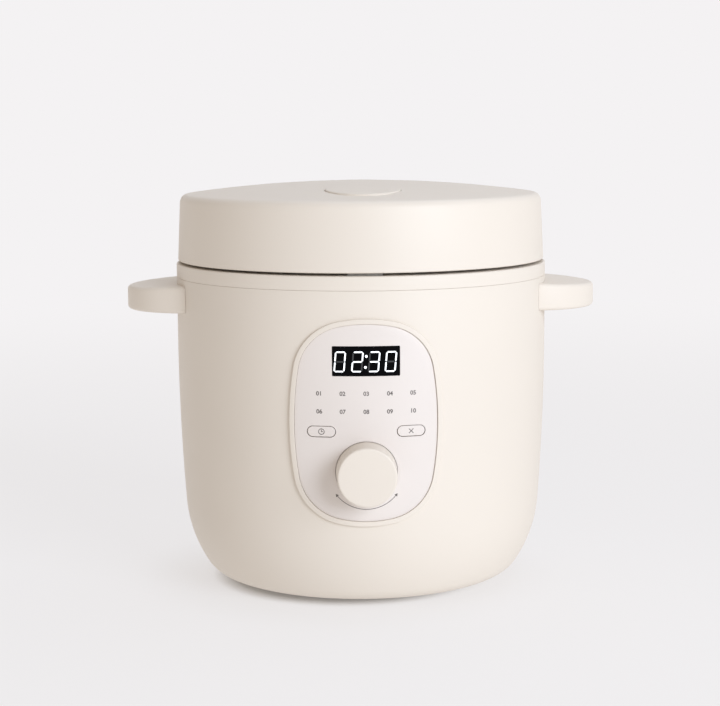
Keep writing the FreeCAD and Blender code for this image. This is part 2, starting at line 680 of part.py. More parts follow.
for name, side in (("left_handle", -1), ("right_handle", 1)):
    handle = ear if side > 0 else ear.mirror(V(), V(1, 0, 0))
    for y in (-HANDLE_BOSS_SPREAD, HANDLE_BOSS_SPREAD):
        inner = V(side * handle_boss_end, y, handle_boss_z)
        outer = V(side * (BODY_RADIUS + HANDLE_BOSS_ROOT), y, handle_boss_z)
        handle = handle.fuse(rod(HANDLE_BOSS_RADIUS, inner, outer))
        handle = handle.cut(rod(SCREW_RADIUS, inner, outer))
        screws.append(screw(inner, V(side, 0, 0), HANDLE_BOSS_DEPTH + WALL))
    save(name, handle.removeSplitter())
save("handle_screws", *screws)

# Panel bezel: a proud ring over the edge of the panel opening, with a skirt inside and a ledge for the plate.
skirt_form = panel_outline(bezel_outer)
lip = front_skin(BEZEL_PROUD, SKIN_GAP).common(panel_outline(BEZEL_WIDTH).cut(panel_outline(FIT)))
skirt = front_skin(BEZEL_PROUD, -BEZEL_DEPTH).common(skirt_form.cut(panel_outline(FIT)))
seat = front_skin(PLATE_BACK - SKIN_GAP, -BEZEL_DEPTH).common(skirt_form.cut(panel_outline(-BEZEL_LEDGE)))
save("panel_bezel", lip.fuse([skirt, seat]).removeSplitter())

# Control plate: the curved fascia with its window, key holes, knob well and bosses for the control board.
plate = front_skin(PLATE_PROUD, PLATE_BACK).common(panel_outline(0))
knob_front = skin_y(0, KNOB_Z, PLATE_PROUD)
well_floor = knob_front + WELL_DEPTH
well_radius = KNOB_BASE_RADIUS + KNOB_GAP
well = front_rod(well_radius + WELL_WALL, 0, KNOB_Z, -REACH, well_floor + WELL_WALL)
plate_adds = [well.common(body_form(PLATE_PROUD))]
for x, z in board_spots:
    boss_root = skin_y(x, z, PLATE_PROUD - PLATE_THICKNESS / 2)
    plate_adds.append(front_rod(BOARD_BOSS_RADIUS, x, z, boss_root, BOARD_FRONT))
plate_cuts = [display_outline(FIT / 2), key_outline(-KEY_SPREAD, FREE), key_outline(KEY_SPREAD, FREE)]
plate_cuts.append(front_rod(well_radius, 0, KNOB_Z, -REACH, well_floor))
plate_cuts.append(front_rod(BUSHING_RADIUS + FIT, 0, KNOB_Z, -REACH, 0))
plate_cuts += [front_rod(SCREW_RADIUS, x, z, BOARD_FRONT - SCREW_BITE, BOARD_FRONT) for x, z in board_spots]
save("control_plate", plate.fuse(plate_adds).cut(plate_cuts).removeSplitter())

# Display: a smoked window flush with the plate, and the digit module that stands on the board behind it.
window = front_skin(PLATE_PROUD, PLATE_BACK - SKIN_GAP).common(display_outline(0))
flange = front_skin(PLATE_BACK - SKIN_GAP, PLATE_BACK - SKIN_GAP - WINDOW_FLANGE_DEPTH)
save("display_window", window.fuse(flange.common(display_outline(WINDOW_FLANGE))).removeSplitter())
module_x = DISPLAY_WIDTH / 2 - MODULE_MARGIN
module_z = DISPLAY_HEIGHT / 2 - MODULE_MARGIN
save("display_module", block((-module_x, module_x), (BOARD_FRONT - MODULE_DEPTH, BOARD_FRONT),
                             (DISPLAY_Z - module_z, DISPLAY_Z + module_z)))

# Keys: capsule caps that slide in the plate, each with a flange that stops on its back and a switch stem.
switches = []
case_front = BOARD_FRONT - SWITCH_DEPTH
switch_front = case_front - SWITCH_TIP_DEPTH
stem_end = switch_front - KEY_TRAVEL - REST
for name, x in (("timer_key", -KEY_SPREAD), ("cancel_key", KEY_SPREAD)):
    flange_front = PLATE_BACK - REST
    cap = front_skin(PLATE_PROUD, flange_front).common(key_outline(x, 0))
    stop = front_skin(flange_front, flange_front - KEY_FLANGE_DEPTH).common(key_outline(x, FREE + KEY_FLANGE))
    stem = front_rod(KEY_STEM_RADIUS, x, KEY_Z, skin_y(x, KEY_Z, flange_front), stem_end)
    save(name, cap.fuse([stop, stem]).removeSplitter())
    half = SWITCH_SIZE / 2
    case = block((x - half, x + half), (case_front, BOARD_FRONT), (KEY_Z - half, KEY_Z + half))
    tip = front_rod(SWITCH_TIP_RADIUS, x, KEY_Z, switch_front, BOARD_FRONT)
    switches.append(case.fuse(tip).removeSplitter())
save("key_switches", *switches)

# Control board: screwed to the plate's bosses.
board = block((-BOARD_HALF_WIDTH, BOARD_HALF_WIDTH), (BOARD_FRONT, BOARD_BACK),
              (PANEL_Z - BOARD_HALF_HEIGHT, PANEL_Z + BOARD_HALF_HEIGHT))
board_holes = [front_rod(SCREW_RADIUS + FIT, x, z, BOARD_FRONT, BOARD_BACK) for x, z in board_spots]
save("control_board", board.cut(board_holes))
board_screws = [screw(V(x, BOARD_BACK, z), V(0, -1, 0), BOARD_THICKNESS + SCREW_BITE) for x, z in board_spots]
save("board_screws", *board_screws)

# Encoder: a case on the board with a bushing, a push plunger inside and the shaft that turns on the plunger.
case_front = BOARD_FRONT - ENCODER_DEPTH
plunger_front = BOARD_FRONT - PLUNGER_BACK - KNOB_TRAVEL - REST - PLUNGER_DEPTH
shaft_end = knob_front - SHAFT_REACH
half = ENCODER_SIZE / 2
case = block((-half, half), (case_front, BOARD_FRONT), (KNOB_Z - half, KNOB_Z + half))
case = case.fuse(front_rod(BUSHING_RADIUS, 0, KNOB_Z, case_front - BUSHING_LENGTH, case_front))
case = case.cut(front_rod(SHAFT_RADIUS + RUNNING, 0, KNOB_Z, -REACH, BOARD_FRONT - PLUNGER_BACK))
save("encoder_body", case.removeSplitter())
save("encoder_plunger", front_rod(PLUNGER_RADIUS, 0, KNOB_Z, plunger_front, plunger_front + PLUNGER_DEPTH))
shaft = front_rod(SHAFT_RADIUS, 0, KNOB_Z, shaft_end, plunger_front)
hub_back = knob_front - KNOB_HUB_RELIEF
flat_z = KNOB_Z + SHAFT_RADIUS - SHAFT_FLAT
flat = block((-SHAFT_RADIUS, SHAFT_RADIUS), (shaft_end, hub_back), (flat_z, KNOB_Z + SHAFT_RADIUS))
save("encoder_shaft", shaft.cut(flat))

# Knob: a tapered cap whose skirt runs inside the plate's well, with a hub on the shaft's flat.
cap_inner = KNOB_HEIGHT - KNOB_WALL
cap = turned((0, KNOB_HEIGHT), (KNOB_FACE_RADIUS, KNOB_HEIGHT), (KNOB_BASE_RADIUS, 0),
             (KNOB_BASE_RADIUS, -KNOB_SKIRT), (KNOB_BASE_RADIUS - KNOB_WALL, -KNOB_SKIRT),
             (KNOB_FACE_RADIUS - KNOB_WALL, cap_inner),
             (KNOB_HUB_RADIUS, cap_inner), (KNOB_HUB_RADIUS, KNOB_HUB_RELIEF), (0, KNOB_HUB_RELIEF))
cap = rounded(cap, KNOB_FACE_RADIUS, KNOB_HEIGHT, KNOB_ROUND)
cap.rotate(V(), V(1, 0, 0), 90)
cap.translate(V(0, knob_front, KNOB_Z))
bore = front_rod(SHAFT_RADIUS + RUNNING, 0, KNOB_Z, shaft_end - FIT, hub_back)
bore = bore.cut(flat.translated(V(0, 0, RUNNING)))
save("control_knob", cap.cut(bore))

# Inner liner: the sheet-metal cup that hangs under the collar and carries the heater.
liner_inner = LINER_RADIUS - LINER_WALL
liner_floor = LINER_BOTTOM + LINER_WALL
liner = rounded(rod(LINER_RADIUS, V(0, 0, LINER_BOTTOM), V(0, 0, LEDGE_UNDER)),
                LINER_RADIUS, LINER_BOTTOM, LINER_ROUND)
hollow = rounded(rod(liner_inner, V(0, 0, liner_floor), V(0, 0, LEDGE_UNDER)),
                 liner_inner, liner_floor, LINER_ROUND - LINER_WALL)
flange_edge = LINER_RADIUS + LINER_FLANGE
hanger = turned((liner_inner, LEDGE_UNDER - LINER_WALL), (flange_edge, LEDGE_UNDER - LINER_WALL),
                (flange_edge, LEDGE_UNDER), (liner_inner, LEDGE_UNDER))
save("inner_liner", liner.cut(hollow).fuse(hanger).removeSplitter())

# Heater: a cast plate on three posts, with a tubular element let into its underside.
sensor_hole = SENSOR_RADIUS + SENSOR_BORE_GAP
heater = turned((sensor_hole, HEATER_BOTTOM), (HEATER_RADIUS, HEATER_BOTTOM), (HEATER_RADIUS, POT_BOTTOM),
                (sensor_hole, POT_BOTTOM))
heater = rounded(heater, HEATER_RADIUS, POT_BOTTOM, HEATER_DISH_ROUND)
groove = Part.makeTorus(ELEMENT_RADIUS, ELEMENT_TUBE + SKIN_GAP, V(0, 0, HEATER_BOTTOM), UP)
save("heating_plate", heater.cut(groove))
element = Part.makeTorus(ELEMENT_RADIUS, ELEMENT_TUBE, V(0, 0, HEATER_BOTTOM), UP, -180, 180, ELEMENT_TURN)
terminals = []
for turn, sense in ((0, -1), (math.radians(ELEMENT_TURN), 1)):
    spot = V(ELEMENT_RADIUS * math.cos(turn), ELEMENT_RADIUS * math.sin(turn), HEATER_BOTTOM)
    way = V(-math.sin(turn), math.cos(turn), 0) * sense
    terminals.append(rod(ELEMENT_TUBE / 2, spot, spot + way * TERMINAL_LENGTH))
save("heating_element", element.fuse(terminals).removeSplitter())
post_spots = around(POST_COUNT, POST_PLACE, liner_floor, POST_ANGLE)
save("heater_posts", *[rod(POST_RADIUS, p, p + V(0, 0, POST_HEIGHT)) for p in post_spots])

# Temperature sensor: a metal cap pressed up against the pot by a spring on a bracket.
sensor_top = POT_BOTTOM - REST
sensor_foot = sensor_top - SENSOR_HEIGHT
sensor_inner = SENSOR_RADIUS - SENSOR_WALL
sensor_roof = sensor_top - SENSOR_TOP
cap = turned((0, sensor_top), (SENSOR_RADIUS, sensor_top), (SENSOR_RADIUS, sensor_foot),
             (sensor_inner, sensor_foot), (sensor_inner, sensor_roof), (0, sensor_roof))
save("sensor_cap", rounded(cap, SENSOR_RADIUS, sensor_top, RIM_ROUND))
bracket_top = liner_floor + BRACKET_FLANGE
bracket = rod(SENSOR_RADIUS, V(0, 0, liner_floor), V(0, 0, bracket_top))
post = rod(BRACKET_POST_RADIUS, V(0, 0, bracket_top), V(0, 0, bracket_top + BRACKET_POST_HEIGHT))
save("sensor_bracket", bracket.fuse(post).removeSplitter())
spring_room = sensor_roof - bracket_top
spring = coil("sensor_spring", SENSOR_SPRING_RADIUS, SENSOR_SPRING_WIRE, SENSOR_SPRING_TURNS,
              spring_room - 2 * SENSOR_SPRING_WIRE, SENSOR_SPRING_WIRE)
spring.translate(V(0, 0, bracket_top + SENSOR_SPRING_WIRE))
save("sensor_spring", spring)

# Inner pot: a drawn aluminium bowl whose rolled rim sits on the collar's ledge.
rim_top = LEDGE_TOP + POT_RIM_HEIGHT
pot_inner = POT_RADIUS - POT_WALL
pot_floor = POT_BOTTOM + POT_WALL
pot = rounded(rod(POT_RADIUS, V(0, 0, POT_BOTTOM), V(0, 0, LEDGE_TOP)), POT_RADIUS, POT_BOTTOM, POT_CORNER)
rim = rounded(rod(POT_RIM_RADIUS, V(0, 0, LEDGE_TOP), V(0, 0, rim_top)), POT_RIM_RADIUS, rim_top, POT_RIM_ROUND)
hollow = rounded(rod(pot_inner, V(0, 0, pot_floor), V(0, 0, rim_top)),
                 pot_inner, pot_floor, POT_CORNER - POT_WALL)
pot = pot.fuse(rim).cut(hollow).removeSplitter()
save("inner_pot", rounded(pot, pot_inner, rim_top, POT_LIP_ROUND))

# Power inlet: a socket through the back wall with three pins.
inlet_back = side_radius(INLET_Z + INLET_HEIGHT / 2) + INLET_PROUD
inlet_front = inlet_back - INLET_DEPTH
inlet = block((-INLET_WIDTH / 2, INLET_WIDTH / 2), (inlet_front, inlet_back),
              (INLET_Z - INLET_HEIGHT / 2, INLET_Z + INLET_HEIGHT / 2))
half_x = SOCKET_WIDTH / 2
half_z = SOCKET_HEIGHT / 2
socket = [V(-half_x, 0, INLET_Z - half_z), V(half_x, 0, INLET_Z - half_z),
          V(half_x, 0, INLET_Z + half_z - SOCKET_CHAMFER), V(half_x - SOCKET_CHAMFER, 0, INLET_Z + half_z),
          V(SOCKET_CHAMFER - half_x, 0, INLET_Z + half_z), V(-half_x, 0, INLET_Z + half_z - SOCKET_CHAMFER)]
socket = plate_from(socket, SOCKET_DEPTH, V(0, 1, 0))
socket.translate(V(0, inlet_back - SOCKET_DEPTH / 2, 0))
pins = []
pin_cuts = [socket]
for x, z in ((-PIN_SPREAD, -PIN_OFFSET), (0, PIN_OFFSET), (PIN_SPREAD, -PIN_OFFSET)):
    spot_x = (x - PIN_WIDTH / 2, x + PIN_WIDTH / 2)
    spot_z = (INLET_Z + z - PIN_HEIGHT / 2, INLET_Z + z + PIN_HEIGHT / 2)
    root = inlet_back - SOCKET_DEPTH
    pins.append(block(spot_x, (inlet_front - PIN_TAIL, root + PIN_LENGTH), spot_z))
    pin_cuts.append(block(spot_x, (inlet_front, root), spot_z))
save("power_inlet", inlet.cut(pin_cuts))
save("inlet_pins", *pins)

# Power board: on the base cover's standoffs, with a relay, a transformer and a capacitor.
board_x = POWER_BOARD_LENGTH / 2
board_y = POWER_BOARD_WIDTH / 2
components_z = board_z + BOARD_THICKNESS
save("power_board", block((-board_x, board_x), (POWER_BOARD_PLACE - board_y, POWER_BOARD_PLACE + board_y),
                          (board_z, components_z)))
components = []
for size, x in ((RELAY_SIZE, -COMPONENT_SPREAD), (TRANSFORMER_SIZE, COMPONENT_SPREAD)):
    components.append(block((x - size[0] / 2, x + size[0] / 2),
                            (POWER_BOARD_PLACE - size[1] / 2, POWER_BOARD_PLACE + size[1] / 2),
                            (components_z, components_z + size[2])))
foot = V(0, POWER_BOARD_PLACE, components_z)
components.append(rod(CAPACITOR_RADIUS, foot, foot + V(0, 0, CAPACITOR_HEIGHT)))
save("power_components", *components)

# Lid cover: a domed shell with sleeves for button and vent, screw bosses and a notch for the hinge arms.
cover = rounded(lid_form(0), DOME_EDGE, LID_RIM, LID_EDGE_ROUND)
cover = rounded(cover, LID_RADIUS, LID_BOTTOM, RIM_ROUND)
inside = lid_form(WALL)
lid_spots = around(CORNER_COUNT, LID_BOSS_PLACE, PLATE_TOP + SCREW_HEAD_HEIGHT, CORNER_ANGLE)
cover_adds = [rod(LID_BOSS_RADIUS, p, p + V(0, 0, LID_HEIGHT)).common(lid_form(WALL / 2)) for p in lid_spots]
cover_cuts = [rod(SCREW_RADIUS, p, p + V(0, 0, SCREW_BITE)) for p in lid_spots]
for y, radius in ((-BUTTON_PLACE, BUTTON_RADIUS + FREE), (VENT_PLACE, VENT_RADIUS + FREE)):
    sleeve = rod(radius + SLEEVE_WALL, V(0, y, dome_z(y) - SLEEVE_DEPTH), V(0, y, LID_TOP))
    cover_adds.append(sleeve.common(lid_form(WALL / 2)))
    cover_cuts.append(rod(radius, V(0, y, LID_BOTTOM), V(0, y, LID_TOP)))
arm_half = HINGE_HALF_WIDTH - EAR_WIDTH - ARM_PLAY
notch_top = HINGE_Z + KNUCKLE_RADIUS + ARM_PLAY
cover_cuts.append(block((-arm_half - FIT, arm_half + FIT), (LID_BOSS_PLACE, REACH), (LID_BOTTOM, notch_top)))
save("lid_cover", cover.cut(inside).fuse(cover_adds).cut(cover_cuts).removeSplitter())

# Lid liner: the plate that closes the lid, with hinge arms, latch lugs, vent chimney and centre post.
plate_radius = LID_RADIUS - WALL - FIT - LID_DRAFT * (PLATE_TOP - LID_BOTTOM) / LID_HEIGHT
dish_under = PLATE_UNDER - GASKET_LIP - INNER_LID_DISH
vent_foot = dome_z(VENT_PLACE) - VENT_DEPTH
chimney_inner = VENT_STEM_RADIUS + FREE
chimney_outer = chimney_inner + CHIMNEY_WALL
chimney_top = vent_foot - REST - SEAL_THICKNESS
knuckle_inner = arm_half - ARM_KNUCKLE
arm_low = max(PLATE_UNDER, HINGE_Z - KNUCKLE_RADIUS)
liner = rod(plate_radius, V(0, 0, PLATE_UNDER), V(0, 0, PLATE_TOP))
liner_adds = [rod(chimney_outer, V(0, VENT_PLACE, PLATE_TOP), V(0, VENT_PLACE, chimney_top))]
liner_adds.append(rod(PLUG_POST_RADIUS, V(0, 0, dish_under - PLUG_POST_ENTRY), V(0, 0, PLATE_UNDER)))
for side in (-1, 1):
    near, far = sorted((side * latch_half, side * (latch_half + LATCH_LUG)))
    lug = block((near, far), (-LATCH_PLACE - LATCH_EYE_RADIUS, LATCH_EYE_RADIUS - LATCH_PLACE),
                (PLATE_TOP, LATCH_Z))
    eye = rod(LATCH_EYE_RADIUS, V(near, -LATCH_PLACE, LATCH_Z), V(far, -LATCH_PLACE, LATCH_Z))
    near, far = sorted((side * knuckle_inner, side * arm_half))
    arm = block((near, far), (HINGE_Y - ARM_ROOT, HINGE_Y), (arm_low, HINGE_Z + KNUCKLE_RADIUS))
    knuckle = rod(KNUCKLE_RADIUS, V(near, HINGE_Y, HINGE_Z), V(far, HINGE_Y, HINGE_Z))
    liner_adds += [lug, eye, arm, knuckle]
window_back = -(LATCH_PLACE - HOOK_OFFSET - HOOK_BITE - HOOK_PLAY)
liner_cuts = [rod(chimney_inner, V(0, VENT_PLACE, PLATE_UNDER), V(0, VENT_PLACE, chimney_top))]
liner_cuts.append(block((-latch_half, latch_half), (-slot_outer, window_back), (PLATE_UNDER, PLATE_TOP)))
liner_cuts.append(rod(LATCH_PIN_RADIUS, V(-REACH, -LATCH_PLACE, LATCH_Z), V(REACH, -LATCH_PLACE, LATCH_Z)))
liner_cuts.append(rod(HINGE_PIN_RADIUS + RUNNING, V(-REACH, HINGE_Y, HINGE_Z), V(REACH, HINGE_Y, HINGE_Z)))
liner_adds += [rod(LID_BOSS_RADIUS, V(p.x, p.y, PLATE_TOP), p) for p in lid_spots]
liner_cuts += [rod(SCREW_RADIUS + FIT, V(p.x, p.y, PLATE_UNDER), p) for p in lid_spots]
head_seats = [V(p.x, p.y, PLATE_UNDER + SCREW_HEAD_HEIGHT) for p in lid_spots]
liner_cuts += [rod(SCREW_HEAD_RADIUS + FIT, V(p.x, p.y, PLATE_UNDER), p) for p in head_seats]
save("lid_liner", liner.fuse(liner_adds).cut(liner_cuts).removeSplitter())
save("lid_screws", *[screw(p, UP, LID_PLATE_THICKNESS + SCREW_BITE) for p in head_seats])

# Inner lid: a dished aluminium plate with a steam hole, its sealing ring, and the plug that holds both up.
rim_under = PLATE_UNDER - GASKET_LIP
slope_edge = INNER_LID_RADIUS - INNER_LID_RIM
dish_edge = slope_edge - INNER_LID_SLOPE
plate_hole = PLUG_POST_RADIUS + FIT
rim_over = rim_under + INNER_LID_WALL
dish_over = dish_under + INNER_LID_WALL
inner_lid = turned((plate_hole, dish_under), (dish_edge, dish_under), (slope_edge, rim_under),
                   (INNER_LID_RADIUS, rim_under), (INNER_LID_RADIUS, rim_over), (slope_edge, rim_over),
                   (dish_edge, dish_over), (plate_hole, dish_over))
steam_hole = rod(VENT_BORE_RADIUS, V(0, VENT_PLACE, dish_under), V(0, VENT_PLACE, PLATE_UNDER))
save("inner_lid", inner_lid.cut(steam_hole))
gasket_outer = INNER_LID_RADIUS + GASKET_INNER - FIT
gasket_under = rim_top + REST
lip_inner = INNER_LID_RADIUS - GASKET_INNER
groove_edge = INNER_LID_RADIUS + SKIN_GAP
gasket = turned((lip_inner, gasket_under), (gasket_outer, gasket_under), (gasket_outer, PLATE_UNDER),
                (lip_inner, PLATE_UNDER), (lip_inner, rim_over), (groove_edge, rim_over),
                (groove_edge, rim_under), (lip_inner, rim_under))
save("lid_gasket", gasket)
plug_foot = dish_under - PLUG_HEAD
post_end = dish_under - PLUG_POST_ENTRY
plug = turned((0, plug_foot), (PLUG_RADIUS, plug_foot), (PLUG_RADIUS, dish_under),
              (PLUG_POST_RADIUS, dish_under), (PLUG_POST_RADIUS, post_end), (0, post_end))
save("lid_plug", rounded(plug, PLUG_RADIUS, plug_foot, RIM_ROUND))

# Steam vent: a cap that lifts out of the lid, with outlet slots in its top and a stem in the sealed chimney.
cap = rod(VENT_RADIUS, V(0, VENT_PLACE, vent_foot), V(0, VENT_PLACE, LID_TOP + VENT_PROUD))
cap = cap.common(lid_form(0).translated(V(0, 0, VENT_PROUD)))
vent_roof = dome_z(VENT_PLACE + VENT_RADIUS) + VENT_PROUD - VENT_WALL
chamber = rod(VENT_RADIUS - VENT_WALL, V(0, VENT_PLACE, vent_foot + VENT_WALL), V(0, VENT_PLACE, vent_roof))
stem = rod(VENT_STEM_RADIUS, V(0, VENT_PLACE, vent_foot - VENT_STEM_LENGTH), V(0, VENT_PLACE, vent_foot))
vent_cuts = [chamber, rod(VENT_BORE_RADIUS, V(0, VENT_PLACE, LID_BOTTOM), V(0, VENT_PLACE, vent_roof))]
for index in range(VENT_OUTLET_COUNT):
    x = (index - (VENT_OUTLET_COUNT - 1) / 2) * VENT_OUTLET_PITCH
    vent_cuts.append(block((x - VENT_OUTLET_WIDTH / 2, x + VENT_OUTLET_WIDTH / 2),
                           (VENT_PLACE - VENT_OUTLET_LENGTH / 2, VENT_PLACE + VENT_OUTLET_LENGTH / 2),
                           (vent_roof, LID_TOP)))
save("vent_cap", cap.fuse(stem).cut(vent_cuts).removeSplitter())
seal = rod(chimney_outer, V(0, VENT_PLACE, chimney_top), V(0, VENT_PLACE, chimney_top + SEAL_THICKNESS))
save("vent_seal", seal.cut(rod(chimney_inner, V(0, VENT_PLACE, chimney_top), V(0, VENT_PLACE, LID_TOP))))

# Lid button: a domed cap that slides in its sleeve and pushes the latch lever's arm with its stem.
arm_top = LATCH_Z + LATCH_BAR / 2
button_foot = dome_z(BUTTON_PLACE) - BUTTON_SKIRT
button = rod(BUTTON_RADIUS, V(0, -BUTTON_PLACE, button_foot), V(0, -BUTTON_PLACE, LID_TOP + BUTTON_PROUD))
button = button.common(lid_form(0).translated(V(0, 0, BUTTON_PROUD)))
crown = [edge for edge in button.Edges if edge.BoundBox.ZMin > button_foot + BUTTON_SKIRT / 2
         and edge.BoundBox.XLength > BUTTON_RADIUS]
button = button.makeFillet(BUTTON_ROUND, crown)
button_roof = dome_z(BUTTON_PLACE + BUTTON_RADIUS) + BUTTON_PROUD - BUTTON_WALL
hollow = rod(BUTTON_RADIUS - BUTTON_WALL, V(0, -BUTTON_PLACE, button_foot), V(0, -BUTTON_PLACE, button_roof))
stem_foot = arm_top + BUTTON_REST
stem = rod(BUTTON_STEM_RADIUS, V(0, -BUTTON_PLACE, stem_foot), V(0, -BUTTON_PLACE, button_roof))
stem = rounded(stem, BUTTON_STEM_RADIUS, stem_foot, BUTTON_STEM_ROUND)
save("lid_button", button.cut(hollow).fuse(stem).removeSplitter())

# Latch lever: pivots on a pin, with an arm under the button and a hook that catches under the collar's deck.
nose_tip = slot_inner - HOOK_BITE
nose_top = DECK_UNDER - REST
nose_foot = nose_top - HOOK_NOSE
arm_under = LATCH_Z - LATCH_BAR / 2
arm = block((-LATCH_ARM_WIDTH / 2, LATCH_ARM_WIDTH / 2), (-LATCH_PLACE, LATCH_ARM_END - BUTTON_PLACE),
            (arm_under, arm_top))
hook = plate_from([V(0, -LATCH_PLACE, arm_top), V(0, -hook_outer, arm_top), V(0, -hook_outer, nose_foot),
                   V(0, -hook_inner, nose_foot), V(0, -nose_tip, nose_top - HOOK_LEAD),
                   V(0, -nose_tip, nose_top), V(0, -hook_inner, nose_top), V(0, -hook_inner, arm_under),
                   V(0, -LATCH_PLACE, arm_under)], LATCH_WIDTH, V(1, 0, 0))
eye_half = V(LATCH_WIDTH / 2, 0, 0)
pivot = V(0, -LATCH_PLACE, LATCH_Z)
eye = rod(LATCH_EYE_RADIUS, pivot - eye_half, pivot + eye_half)
pin_half = latch_half + LATCH_LUG
pin_ends = (V(-pin_half, -LATCH_PLACE, LATCH_Z), V(pin_half, -LATCH_PLACE, LATCH_Z))
lever = hook.fuse([arm, eye]).cut(rod(LATCH_PIN_RADIUS + RUNNING, *pin_ends))
save("latch_lever", lever.removeSplitter())
save("latch_pin", rod(LATCH_PIN_RADIUS, *pin_ends))
spring_room = arm_under - PLATE_TOP
spring = coil("latch_spring", LATCH_SPRING_RADIUS, LATCH_SPRING_WIRE, LATCH_SPRING_TURNS,
              spring_room - 2 * LATCH_SPRING_WIRE, LATCH_SPRING_WIRE)
spring.translate(V(0, -LATCH_SPRING_PLACE, PLATE_TOP + LATCH_SPRING_WIRE))
save("latch_spring", spring)

# Hinge: a bracket screwed to the back of the body, the pin through its ears, and the lid's lifting spring.
back = HINGE_Y + KNUCKLE_RADIUS
bracket_foot = BODY_TOP - BRACKET_DROP
side_view = [V(0, 0, bracket_foot), V(0, BODY_RADIUS, bracket_foot), V(0, back, bracket_foot + BRACKET_TOE),
             V(0, back, HINGE_Z), V(0, 0, HINGE_Z)]
bracket = plate_from(side_view, 2 * HINGE_HALF_WIDTH, V(1, 0, 0))
ear_pin = (V(-HINGE_HALF_WIDTH, HINGE_Y, HINGE_Z), V(HINGE_HALF_WIDTH, HINGE_Y, HINGE_Z))
bracket = bracket.fuse(rod(KNUCKLE_RADIUS, *ear_pin))
gap_half = arm_half + ARM_PLAY
saddle = HINGE_Z - KNUCKLE_RADIUS - ARM_PLAY
bracket_cuts = [body_form(SKIN_GAP), block((-REACH, REACH), (0, HINGE_Y - KNUCKLE_RADIUS), (BODY_TOP, REACH))]
bracket_cuts.append(block((-gap_half, gap_half), (0, REACH), (saddle, REACH)))
bracket_cuts.append(rod(HINGE_PIN_RADIUS, *ear_pin))
screw_seat = math.sqrt((BODY_RADIUS - WALL) ** 2 - (BRACKET_SCREW_SPREAD + SCREW_HEAD_RADIUS) ** 2)
screw_end = BODY_RADIUS + BRACKET_SCREW_REACH
bracket_cuts += [rod(SCREW_RADIUS, spot, spot + V(0, screw_end, 0)) for spot in bracket_spots]
save("hinge_bracket", bracket.cut(bracket_cuts).removeSplitter())
save("hinge_pin", rod(HINGE_PIN_RADIUS, *ear_pin))
head_seats = [spot + V(0, screw_seat, 0) for spot in bracket_spots]
save("hinge_screws", *[screw(seat, V(0, 1, 0), screw_end - screw_seat) for seat in head_seats])
spring_room = 2 * (knuckle_inner - HINGE_SPRING_END)
spring_radius = HINGE_PIN_RADIUS + REST + HINGE_SPRING_WIRE / 2
spring = coil("hinge_spring", spring_radius, HINGE_SPRING_WIRE, HINGE_SPRING_TURNS, spring_room,
              HINGE_SPRING_LEG)
spring.translate(V(0, 0, -spring_room / 2))
spring.rotate(V(), V(0, 1, 0), 90)
spring.translate(V(0, HINGE_Y, HINGE_Z))
save("hinge_spring", spring)
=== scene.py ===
import bmesh
import bpy
import json
import math
from mathutils import Matrix, Vector


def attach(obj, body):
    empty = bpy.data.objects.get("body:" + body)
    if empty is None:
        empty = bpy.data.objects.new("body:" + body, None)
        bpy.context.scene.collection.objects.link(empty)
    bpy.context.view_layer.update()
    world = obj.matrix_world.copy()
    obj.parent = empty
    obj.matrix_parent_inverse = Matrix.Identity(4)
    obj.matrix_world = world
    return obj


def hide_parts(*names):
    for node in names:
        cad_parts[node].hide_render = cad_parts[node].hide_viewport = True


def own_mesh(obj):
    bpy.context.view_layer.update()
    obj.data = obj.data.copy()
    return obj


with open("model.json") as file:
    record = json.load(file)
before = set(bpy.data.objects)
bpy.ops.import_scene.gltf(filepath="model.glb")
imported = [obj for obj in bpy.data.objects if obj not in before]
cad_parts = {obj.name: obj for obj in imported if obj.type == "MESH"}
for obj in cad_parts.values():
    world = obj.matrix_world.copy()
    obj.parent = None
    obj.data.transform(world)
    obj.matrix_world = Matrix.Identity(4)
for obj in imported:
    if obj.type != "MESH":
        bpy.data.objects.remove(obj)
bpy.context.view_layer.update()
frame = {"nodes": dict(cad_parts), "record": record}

# Outer body: one bowl injection-moulded in cream ABS, upright at the top and drawn in to a soft round foot.
# Its front has the oval opening of the control panel and its back the opening of the mains inlet.
mm = 0.001
body_radius = 102.4
body_foot = 4.0
body_line = 170.0
body_wall = 2.4
body_turns = 240
line_round = 0.22
base_radius = 66.0
base_round = 0.6
side_radii = (1310.0, 71.0, 14.8)
side_turns = [math.radians(turn) for turn in (0, 4, 33, 90)]
panel_z = 102.2
panel_half = (36.6, 51.0)
panel_radii = (175.0, 67.5, 26.0)
panel_opening = 1.8
inlet_z = 40.0
inlet_half = (15.5, 12.0)
inlet_play = 0.2
beyond = 130.0
inside = 60.0
cream = (0.775, 0.708, 0.622)


def side_arcs():
    """Centre, radius and end turns of the three arcs that lead from the upright wall down to the base."""
    drops = [r * (math.sin(b) - math.sin(a)) for r, a, b in zip(side_radii, side_turns, side_turns[1:])]
    centre = [body_radius - side_radii[0], body_foot + sum(drops)]
    arcs = []
    for k, radius in enumerate(side_radii):
        arcs.append((centre[0], centre[1], radius, side_turns[k], side_turns[k + 1]))
        if k < 2:
            shift = radius - side_radii[k + 1]
            centre[0] += shift * math.cos(side_turns[k + 1])
            centre[1] -= shift * math.sin(side_turns[k + 1])
    return arcs


def side_profile(offset, steps=(34, 22, 18)):
    """The body's side from its upright wall to its foot, moved outwards by an offset."""
    points = []
    for (centre_r, centre_z, radius, start, end), count in zip(side_arcs(), steps):
        for step in range(count):
            turn = start + (end - start) * step / count
            away = radius + offset
            points.append((centre_r + away * math.cos(turn), centre_z - away * math.sin(turn)))
    centre_r, centre_z, radius = side_arcs()[2][:3]
    return points + [(centre_r, centre_z - radius - offset)]


